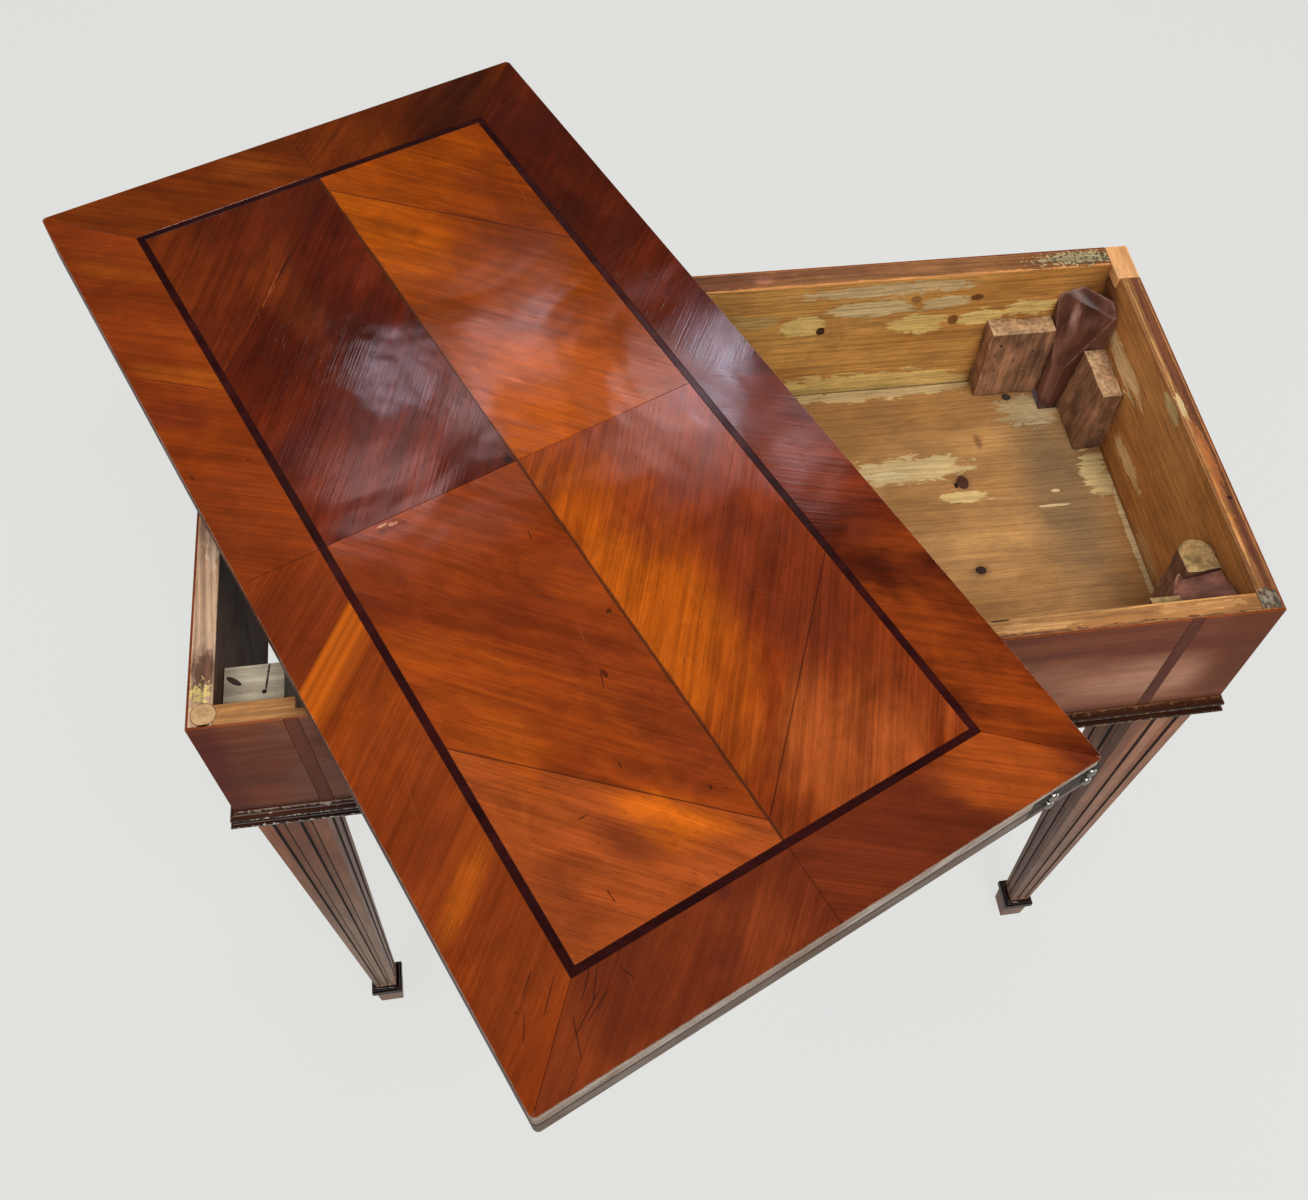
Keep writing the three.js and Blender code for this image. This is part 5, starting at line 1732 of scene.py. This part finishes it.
@dataclass
class Carcase:
    """The frame's rails with their veneers, bands and moulding.

    Attributes:
        finishes: The finishes.
        rim_rounding: Rounding of the worn rim.
        veneer_rounding: Rounding of the veneers' edges.
        band_rounding: Rounding of the thin bands.
        glue_line: How far the veneers reach into the gap behind them.
        rim_edges: How far below the rim its edges lie at most.
        rim_faces: How far below the rim the middles of its faces lie at most.
    """

    finishes: Finishes
    rim_rounding: float = 0.0009
    veneer_rounding: float = 0.0005
    band_rounding: float = 0.0002
    glue_line: float = 0.00026
    rim_edges: float = 0.001
    rim_faces: float = 0.003

    def build(self) -> None:
        """Makes all the pieces."""
        self.make_rails()
        self.make_veneers()
        self.make_bands()
        self.make_mouldings()

    def on_rim(self, edge: bmesh.types.BMEdge) -> bool:
        """Tells the outer edges along the rim."""
        return edge.is_convex and all(v.co.z > PLAN.rim - self.rim_edges for v in edge.verts)

    @staticmethod
    def glued_face(node: str, outer: bool) -> tuple[int, float]:
        """Finds the face where a rail and its veneer meet.

        Args:
            node: The rail's or veneer's node.
            outer: Whether it is the node's outer face, as on a rail.

        Returns:
            The axis across the face, and its place on that axis.
        """
        low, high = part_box(node)
        axis = 1 if node.endswith(("front", "back")) else 0
        return axis, high[axis] if node.endswith(("back", "right")) == outer else low[axis]

    @staticmethod
    def touches(edge: bmesh.types.BMEdge, axis: int, place: float) -> bool:
        """Tells the edges that lie on a face across an axis."""
        return all(abs(v.co[axis] - place) < TOUCH for v in edge.verts)

    def make_rails(self) -> None:
        """Makes the four rails, whose tops are the worn rim."""
        made = self.finishes
        rails = {
            "rail_front": (made.back_wall, made.front_rim, "rail_wood"),
            "rail_back": (made.back_wall, made.back_rim, "rail_wood"),
            "rail_left": (made.dark_rail, made.left_rim, "aged_rail"),
            "rail_right": (made.right_wall, made.right_rim, "rail_wood"),
        }
        for node, (wall, rim, slot) in rails.items():
            bm = copy_of(node)
            face = self.glued_face(node, True)
            soften(bm, self.rim_rounding, wanted=lambda e: self.on_rim(e) and not self.touches(e, *face))
            paint(bm, 1, lambda f: f.normal.z > 0.3 and f.calc_center_median().z > PLAN.rim - self.rim_faces)
            settle(bm, node, Body.FRAME, (wall, rim))

    def make_veneers(self) -> None:
        """Makes the apron's veneers."""
        made = self.finishes
        for side in ("front", "back", "left", "right"):
            node = f"apron_veneer_{side}"
            finish = made.apron_front if side in ("front", "back") else made.apron_side
            bm = copy_of(node)
            axis, place = self.glued_face(node, False)
            soften(bm, self.veneer_rounding, wanted=lambda e: convex(e) and not self.touches(e, axis, place))
            inner = [v for v in bm.verts if abs(v.co[axis] - place) < TOUCH]
            press = Vector((0.0, 0.0, 0.0))
            press[axis] = self.glue_line if side in ("front", "left") else -self.glue_line
            bmesh.ops.translate(bm, verts=inner, vec=press)
            settle(bm, node, Body.FRAME, (finish,))

    def make_bands(self) -> None:
        """Makes the dark bands across the front."""
        for side in ("left", "right"):
            node = f"apron_band_{side}"
            bm = copy_of(node)
            soften(bm, self.band_rounding, segments=1, wanted=convex)
            settle(bm, node, Body.FRAME, (self.finishes.band,))

    def make_mouldings(self) -> None:
        """Makes the moulding round the frame's foot."""
        for side in ("front", "back", "left", "right"):
            node = f"apron_moulding_{side}"
            bm = copy_of(node)
            settle(bm, node, Body.FRAME, (self.finishes.moulding,), weighted=False)


@dataclass
class Legs:
    """The four legs and their collars.

    Attributes:
        finishes: The finishes.
        arris: Rounding of the worn arrises.
        dome: Rounding of the stumps that are carved round.
        hewn: The stump whose inner and outer corners are hewn away at the top.
        hewn_cuts: For each cut its direction (1 towards the well, -1 away from it), its distance from
            the stump's middle along each axis, its depth below the stump's top and its slope.
        arris_sharper_than: The least angle in degrees at an edge that is an arris.
        stump_from: The height above which the wood is a stump's.
        dome_from: The height above which a stump's edges are carved round.
        wall_slant: How far a face has to lean to both sides to be a flute's steep wall.
        wall_reach: How far from the leg's middle such a wall lies at most, by its other distance.
    """

    finishes: Finishes
    arris: float = 0.0004
    dome: float = 0.013
    hewn: str = "back_right"
    hewn_cuts: tuple[tuple[float, float, float, float], ...] = (
        (1.0, 0.004, 0.0, 0.5),
        (-1.0, 0.0, 0.005, 1.5),
    )
    arris_sharper_than: float = 50.0
    stump_from: float = 0.58
    dome_from: float = 0.6
    wall_slant: float = 0.6
    wall_reach: float = 0.85

    def build(self) -> None:
        """Makes all the pieces."""
        for corner in CORNERS:
            self.make_leg(corner)
            self.make_collar(corner)

    def make_leg(self, corner: Corner) -> None:
        """Makes one leg with its stump.

        Args:
            corner: The leg's corner.
        """
        node = f"leg_{corner.name}"
        sawn = corner.name == "front_left"
        bm = copy_of(node)
        if not sawn:
            soften(bm, self.dome, segments=6, sharper_than=20.0, wanted=self.on_stump)
        low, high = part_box(node)
        for way, reach, drop, rise in self.hewn_cuts if corner.name == self.hewn else ():
            inward = Vector((-corner.side_x, -corner.side_y, 0.0)) * way
            at = Vector(((low.x + high.x) / 2, (low.y + high.y) / 2, high.z - drop)) + inward * reach
            slope = (inward + Vector((0.0, 0.0, rise))).normalized()
            bmesh.ops.bisect_plane(bm, geom=all_of(bm), plane_co=at, plane_no=slope, clear_outer=True)
            bmesh.ops.holes_fill(bm, edges=[e for e in bm.edges if e.is_boundary])
            bmesh.ops.recalc_face_normals(bm, faces=bm.faces)
        soften(bm, self.arris, segments=1, sharper_than=self.arris_sharper_than, wanted=convex)
        middle = (low + high) / 2
        # The flutes' steep walls get the painted shade.
        paint(bm, 2, lambda f: self.in_flute(f, middle))
        paint(bm, 1, lambda f: f.calc_center_median().z > self.stump_from)
        stump = self.finishes.sawn_stump if sawn else self.finishes.domed_stump
        finishes = (self.finishes.leg, stump, self.finishes.flute_shade)
        settle(bm, node, Body.FRAME, finishes)

    def on_stump(self, edge: bmesh.types.BMEdge) -> bool:
        """Tells the outer edges of a leg's stump."""
        return edge.is_convex and all(v.co.z > self.dome_from for v in edge.verts)

    def in_flute(self, face: bmesh.types.BMFace, middle: Vector) -> bool:
        """Tells the steep walls of a leg's flutes.

        Args:
            face: A face of the leg.
            middle: The middle of the leg.

        Returns:
            Whether it is such a wall.
        """
        centre = face.calc_center_median()
        away = (abs(centre.x - middle.x), abs(centre.y - middle.y))
        slanting = min(abs(face.normal.x), abs(face.normal.y)) > self.wall_slant
        return slanting and min(away) < self.wall_reach * max(away)

    def make_collar(self, corner: Corner) -> None:
        """Makes one leg's collar.

        Args:
            corner: The leg's corner.
        """
        node = f"leg_collar_{corner.name}"
        bm = copy_of(node)
        settle(bm, node, Body.FRAME, (self.finishes.moulding,), weighted=False)


@dataclass
class Well:
    """The storage well, its glue blocks, the frame's repairs and the pivot.

    Attributes:
        finishes: The finishes.
        board_rounding: Rounding of the boards' edges.
        hewn: How far the rough faces of the glue blocks waver.
        hewn_step: Distance between the points of those faces.
        hewn_size: The length over which they waver.
        plug_fit: How much wider the plug is than its CAD node, so that it fills its hole.
    """

    finishes: Finishes
    board_rounding: float = 0.0008
    hewn: float = 0.0016
    hewn_step: float = 0.005
    hewn_size: float = 0.014
    plug_fit: float = 1.03

    def build(self) -> None:
        """Makes all the pieces."""
        made = self.finishes
        parts = (
            ("well_bottom", made.well, "well_pine"),
            ("well_partition", made.dark_rail, "well_pine"),
            ("pivot_rail", made.dark_rail, "aged_rail"),
            ("glue_block_rear", made.block, "well_pine"),
            ("glue_block_end", made.block, "well_pine"),
            ("glue_block_round", made.block, "well_pine"),
            ("glue_block_front", made.block, "well_pine"),
            ("rim_patch", made.fresh, "fresh_wood"),
            ("corner_plug", made.plug, "fresh_wood"),
            ("pivot_nut", made.iron, "pivot_iron"),
        )
        for node, finish, slot in parts:
            self.make_piece(node, finish)

    def make_piece(self, node: str, finish: bpy.types.Material) -> None:
        """Makes one piece from its CAD node.

        Args:
            node: The node.
            finish: Its finish.
        """
        body = Body.LOWER_LEAF if node == "pivot_nut" else Body.FRAME
        made = self.finishes
        bm = copy_of(node)
        soften(bm, self.board_rounding, wanted=convex)
        finishes = (finish,)
        if node == "corner_plug":
            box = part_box(node)
            centre = Matrix.Translation(((box[0].x + box[1].x) / 2, (box[0].y + box[1].y) / 2, 0.0))
            bmesh.ops.scale(
                bm, vec=(self.plug_fit, self.plug_fit, 1.0), space=centre.inverted(), verts=bm.verts,
            )
        if node.startswith("glue_block"):
            finishes = (finish, made.straw_end if node.endswith(("round", "front")) else made.block_end)
            paint(bm, 1, lambda f: f.normal.z > 0.6)
            for axis in range(3):
                slice_mesh(bm, axis, self.hewn_step)
            waver(bm, self.hewn, self.hewn_size, len(node))
        settle(bm, node, body, finishes)


@dataclass
class Top:
    """The folded top: two leaves, their veneers, cloth and hinges.

    Attributes:
        finishes: The finishes.
        edge_rounding: Rounding of the leaves' worn edges.
        joint_rounding: Rounding of the veneers' edges at their joints.
        cloth_step: Distance between the cloth's points.
        screw_fit: How much larger the screw heads are than their CAD nodes.
        stringing: The stringing's width in the CAD nodes.
        stringing_fit: How much narrower it is on each side.
        joint_reach: How far a joint's points may lie from the stringing's edge.
        worn_from: Length of the shortest edge of a leaf that is worn round.
        nap_rate: How many times in a metre the cloth rises and sinks.
        nap: How far it sinks.
        plate_rounding: Rounding of the hinge plates' edges.
        bolt_rounding: Rounding of the pivot's edges.
    """

    finishes: Finishes
    edge_rounding: float = 0.0012
    joint_rounding: float = 0.0001
    cloth_step: float = 0.012
    screw_fit: float = 1.25
    stringing: float = 0.0066
    stringing_fit: float = 0.0006
    joint_reach: float = 0.0006
    worn_from: float = 0.2
    nap_rate: float = 60.0
    nap: float = 0.00025
    plate_rounding: float = 0.0003
    bolt_rounding: float = 0.0004

    def build(self) -> None:
        """Makes all the pieces."""
        self.make_core("lower_leaf_core", Body.LOWER_LEAF, inner_up=True)
        self.make_core("upper_leaf_core", Body.UPPER_LEAF, inner_up=False)
        self.make_veneers()
        self.make_cloth("lower_leaf_baize", Body.LOWER_LEAF)
        self.make_cloth("upper_leaf_baize", Body.UPPER_LEAF)
        self.make_hinges()
        self.make_pivot()

    def is_worn(self, edge: bmesh.types.BMEdge) -> bool:
        """Tells the long outer edges of a leaf."""
        return edge.is_convex and edge.calc_length() > self.worn_from

    def make_core(self, node: str, body: Body, inner_up: bool) -> None:
        """Makes a leaf's core, with its worn edge, its inner face and its outer one.

        Args:
            node: The CAD node.
            body: The body that it rides on.
            inner_up: Whether its inner face looks up.
        """
        made = self.finishes
        bm = copy_of(node)
        soften(bm, self.edge_rounding, sharper_than=60.0, wanted=self.is_worn)
        facing = 1 if inner_up else -1
        paint(bm, 1, lambda f: f.normal.z * facing > 0.7)
        paint(bm, 2, lambda f: f.normal.z * facing < -0.7)
        settle(bm, node, body, (made.leaf_edge, made.leaf_inside, made.leaf_under))

    def make_veneers(self) -> None:
        """Makes the veneers and the stringing of the top."""
        to_plan = PLAN.leaf_matrix().inverted()
        ring = copy_of("stringing")
        ring.transform(to_plan)
        edges = [max(v.co[axis] for v in ring.verts) for axis in (0, 1)]
        ring.free()
        for node, finish in {**self.finishes.veneers, "stringing": self.finishes.inlay}.items():
            bm = copy_of(node)
            bm.transform(to_plan)
            self.fit_stringing(bm, edges)
            top = max(v.co.z for v in bm.verts) - TOUCH
            soften(
                bm, self.joint_rounding, segments=1,
                wanted=lambda e: e.is_convex and all(v.co.z > top for v in e.verts),
            )
            settle(bm, node, Body.UPPER_LEAF, (finish,), PLAN.leaf_matrix())

    def fit_stringing(self, bm: bmesh.types.BMesh, edges: Sequence[float]) -> None:
        """Moves the joints on both sides of the stringing towards its middle.

        Args:
            bm: A veneer or the stringing, in the leaf's plan.
            edges: Where the stringing's outer edges lie, along and across the leaf.
        """
        for vert in bm.verts:
            for axis, edge in enumerate(edges):
                away = abs(vert.co[axis])
                side = math.copysign(self.stringing_fit, vert.co[axis])
                if abs(away - edge) < self.joint_reach:
                    vert.co[axis] -= side
                elif abs(away - edge + self.stringing) < self.joint_reach:
                    vert.co[axis] += side

    def make_cloth(self, node: str, body: Body) -> None:
        """Makes the cloth of one leaf.

        Args:
            node: The CAD node.
            body: The body that it rides on.
        """
        bm = copy_of(node)
        bm.transform(PLAN.leaf_matrix().inverted())
        slice_mesh(bm, 0, self.cloth_step)
        slice_mesh(bm, 1, self.cloth_step)
        low = min(v.co.z for v in bm.verts)
        high = max(v.co.z for v in bm.verts)
        for vert in bm.verts:
            bare = vert.co.z > (low + high) / 2 if body is Body.LOWER_LEAF else vert.co.z < (low + high) / 2
            if bare:
                sunk = abs(noise.noise(vert.co * self.nap_rate)) * self.nap
                vert.co.z += -sunk if body is Body.LOWER_LEAF else sunk
        piece = settle(bm, node, body, (self.finishes.baize,), PLAN.leaf_matrix())

    def make_hinges(self) -> None:
        """Makes the hinge plates, their pins and their screws."""
        made = self.finishes
        for side in ("left", "right"):
            for leaf, body in (("lower", Body.LOWER_LEAF), ("upper", Body.UPPER_LEAF)):
                node = f"hinge_plate_{leaf}_{side}"
                bm = copy_of(node)
                soften(bm, self.plate_rounding, sharper_than=50.0, wanted=convex)
                settle(bm, node, body, (made.brass,))
                for place in ("near", "far"):
                    screw = f"hinge_screw_{leaf}_{side}_{place}"
                    bm = copy_of(screw)
                    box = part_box(screw)
                    centre = Matrix.Translation((box[0] + box[1]) / 2)
                    bmesh.ops.scale(bm, vec=(self.screw_fit,) * 3, space=centre.inverted(), verts=bm.verts)
                    settle(bm, screw, body, (made.screw,), weighted=False)
            pin = f"hinge_pin_{side}"
            settle(copy_of(pin), pin, Body.LOWER_LEAF, (made.brass,), weighted=False)

    def make_pivot(self) -> None:
        """Makes the pivot's bolt."""
        bm = copy_of("pivot_bolt")
        soften(bm, self.bolt_rounding, sharper_than=50.0, wanted=convex)
        settle(bm, "pivot_bolt", Body.LOWER_LEAF, (self.finishes.iron,))


# The studio


@dataclass(frozen=True)
class Softbox:
    """A soft lamp.

    Attributes:
        name: Its name.
        aim: The point that it lights.
        azimuth: Its direction from that point in degrees, clockwise from +Y as seen from above.
        elevation: Its height above the horizon in degrees.
        distance: Its distance.
        size: Its width and height.
        power: Its power in watts.
        colour: Its colour.
    """

    name: str
    aim: tuple[float, float, float]
    azimuth: float
    elevation: float
    distance: float
    size: tuple[float, float]
    power: float
    colour: tuple[float, float, float] = (1.0, 1.0, 1.0)

    def build(self) -> bpy.types.Object:
        """Makes the lamp.

        Returns:
            The lamp.
        """
        lamp = bpy.data.lights.new(self.name, "AREA")
        lamp.shape = "RECTANGLE"
        lamp.size, lamp.size_y = self.size
        lamp.energy = self.power
        lamp.color = self.colour
        turned, raised = math.radians(self.azimuth), math.radians(self.elevation)
        back = Vector(
            (math.sin(turned) * math.cos(raised), math.cos(turned) * math.cos(raised), math.sin(raised)),
        )
        holder = bpy.data.objects.new(self.name, lamp)
        holder.location = Vector(self.aim) + back * self.distance
        holder.rotation_mode = "QUATERNION"
        holder.rotation_quaternion = (-back).to_track_quat("-Z", "Y")
        bpy.context.scene.collection.objects.link(holder)
        return holder


@dataclass
class Studio:
    """The pale floor, the lamps and the camera.

    Attributes:
        floor_size: Side of the floor.
        backdrop: Colour of the floor and of all that lies behind it.
        world_level: Strength of the light from all round.
    """

    floor_size: float = 60.0
    backdrop: Colour = tone(226, 227, 224)
    world_level: float = 0.4
    lamps: list[Softbox] = field(default_factory=lambda: [
        Softbox("key lamp", (0.0, 0.0, 0.6), 160.0, 60.0, 3.2, (1.0, 0.8), 52.0),
        Softbox("fill lamp", (0.0, 0.0, 0.5), 232.0, 56.0, 3.6, (2.2, 1.6), 32.0),
        Softbox(
            "right ceiling lamp", (0.066, 0.079, 0.77), 12.5, 47.6, 3.0, (0.13, 0.20), 2.0, (0.78, 0.80, 1.0),
        ),
        Softbox(
            "border glow", (0.116, -0.011, 0.77), 18.5, 50.6, 3.0, (0.12, 0.28), 0.26, (0.94, 0.70, 0.84),
        ),
        Softbox(
            "left ceiling lamp", (-0.195, 0.09, 0.77), -7.9, 47.6, 3.0, (0.15, 0.12), 0.5, (0.94, 0.82, 0.98),
        ),
        Softbox("left glow", (-0.132, 0.046, 0.77), -3.1, 49.6, 3.0, (0.09, 0.14), 0.35, (1.0, 0.70, 0.74)),
        Softbox(
            "small ceiling lamp", (-0.07, 0.145, 0.77), 1.8, 45.7, 3.0, (0.08, 0.09), 0.14, (0.62, 0.80, 1.0),
        ),
        Softbox("low glow", (-0.2, -0.014, 0.77), -9.6, 51.6, 3.0, (0.3, 0.16), 1.0, (1.0, 0.62, 0.62)),
        Softbox("near ceiling", (-0.101, 0.114, 0.77), -0.5, 47.0, 3.0, (0.30, 0.17), 1.4, (1.0, 0.58, 0.56)),
        Softbox(
            "middle ceiling", (0.006, 0.061, 0.77), 8.1, 48.8, 3.0, (0.17, 0.22), 1.05, (1.0, 0.60, 0.58),
        ),
        Softbox("right ceiling", (0.023, 0.0, 0.77), 10.3, 51.1, 3.0, (0.34, 0.20), 1.25, (1.0, 0.64, 0.62)),
        Softbox("far glow", (0.116, -0.011, 0.77), 19.0, 50.6, 3.0, (0.24, 0.2), 0.5, (1.0, 0.72, 0.70)),
        Softbox("ceiling strip", (-0.05, 0.05, 0.77), 3.0, 49.5, 3.2, (1.5, 0.4), 0.9, (1.0, 0.70, 0.66)),
        Softbox("low side lamp", (-0.31, -0.14, 0.3), 100.0, 10.0, 2.6, (0.8, 0.5), 6.0),
    ])

    def build(self) -> None:
        """Makes all of it."""
        self.make_floor()
        self.make_world()
        for lamp in self.lamps:
            lamp.build()
        self.make_camera()

    def make_floor(self) -> None:
        """Makes the floor, which shows its own colour and keeps the table's shadow."""
        bm = bmesh.new()
        bmesh.ops.create_grid(bm, x_segments=1, y_segments=1, size=self.floor_size / 2)
        mesh = bpy.data.meshes.new("floor")
        bm.to_mesh(mesh)
        bm.free()
        material = bpy.data.materials.new("pale floor")
        material.use_nodes = True
        recipe = Recipe(material.node_tree)
        matt = recipe.node("ShaderNodeBsdfDiffuse")
        matt.inputs["Color"].default_value = tuple(c * 0.15 for c in self.backdrop[:3]) + (1.0,)
        glow = recipe.node("ShaderNodeEmission")
        glow.inputs["Color"].default_value = self.backdrop
        path = recipe.node("ShaderNodeLightPath")
        through = recipe.math("MAXIMUM", path.outputs["Is Camera Ray"], path.outputs["Is Transmission Ray"])
        seen = recipe.math("MAXIMUM", through, recipe.times(path.outputs["Is Glossy Ray"], 0.4))
        recipe.feed(glow.inputs["Strength"], recipe.times(seen, 0.86))
        both = recipe.node("ShaderNodeAddShader")
        recipe.feed(both.inputs[0], matt.outputs[0])
        recipe.feed(both.inputs[1], glow.outputs[0])
        out = recipe.node("ShaderNodeOutputMaterial")
        recipe.feed(out.inputs["Surface"], both.outputs[0])
        mesh.materials.append(material)
        floor = bpy.data.objects.new("floor", mesh)
        bpy.context.scene.collection.objects.link(floor)

    def make_world(self) -> None:
        """Makes the even light from all round, with the backdrop's colour behind the table."""
        world = bpy.data.worlds.new("studio")
        world.use_nodes = True
        bpy.context.scene.world = world
        recipe = Recipe(world.node_tree)
        light = recipe.node("ShaderNodeBackground")
        light.inputs["Color"].default_value = (1.0, 0.985, 0.97, 1.0)
        wall = recipe.node("ShaderNodeBackground")
        wall.inputs["Color"].default_value = self.backdrop
        path = recipe.node("ShaderNodeLightPath")
        dimmer = recipe.less(1.0, recipe.times(path.outputs["Is Glossy Ray"], 0.8))
        recipe.feed(light.inputs["Strength"], recipe.times(dimmer, self.world_level))
        either = recipe.node("ShaderNodeMixShader")
        seen = recipe.math("MAXIMUM", path.outputs["Is Camera Ray"], path.outputs["Is Transmission Ray"])
        recipe.feed(either.inputs[0], seen)
        recipe.feed(either.inputs[1], light.outputs[0])
        recipe.feed(either.inputs[2], wall.outputs[0])
        out = recipe.node("ShaderNodeOutputWorld")
        recipe.feed(out.inputs["Surface"], either.outputs[0])

    def make_camera(self) -> None:
        """Makes the camera at the photograph's place."""
        data = bpy.data.cameras.new("camera")
        data.lens = 37.24
        data.sensor_width = 36.0
        data.shift_x = -0.0530
        data.shift_y = -0.0011
        data.clip_start, data.clip_end = 0.05, 200.0
        camera = bpy.data.objects.new("camera", data)
        right = Vector((0.98611, -0.15574, 0.05766))
        up = Vector((0.10126, 0.83904, 0.53457))
        back = Vector((-0.13163, -0.52131, 0.84316))
        turned = Matrix((right, up, back)).transposed().to_4x4()
        camera.matrix_world = Matrix.Translation((-0.094153, -0.641477, 1.5828)) @ turned
        bpy.context.scene.collection.objects.link(camera)
        bpy.context.scene.camera = camera


def main() -> None:
    """Builds the studio and the table."""
    bpy.context.scene.view_settings.view_transform = "Standard"
    Studio().build()
    finishes = Finishes()
    for part in (Carcase(finishes), Legs(finishes), Well(finishes), Top(finishes)):
        log.info("building: %s", type(part).__name__)
        part.build()
    bpy.context.view_layer.update()


if __name__ == "__main__":
    logging.basicConfig(level=logging.INFO, format="%(name)s: %(message)s")
    main()
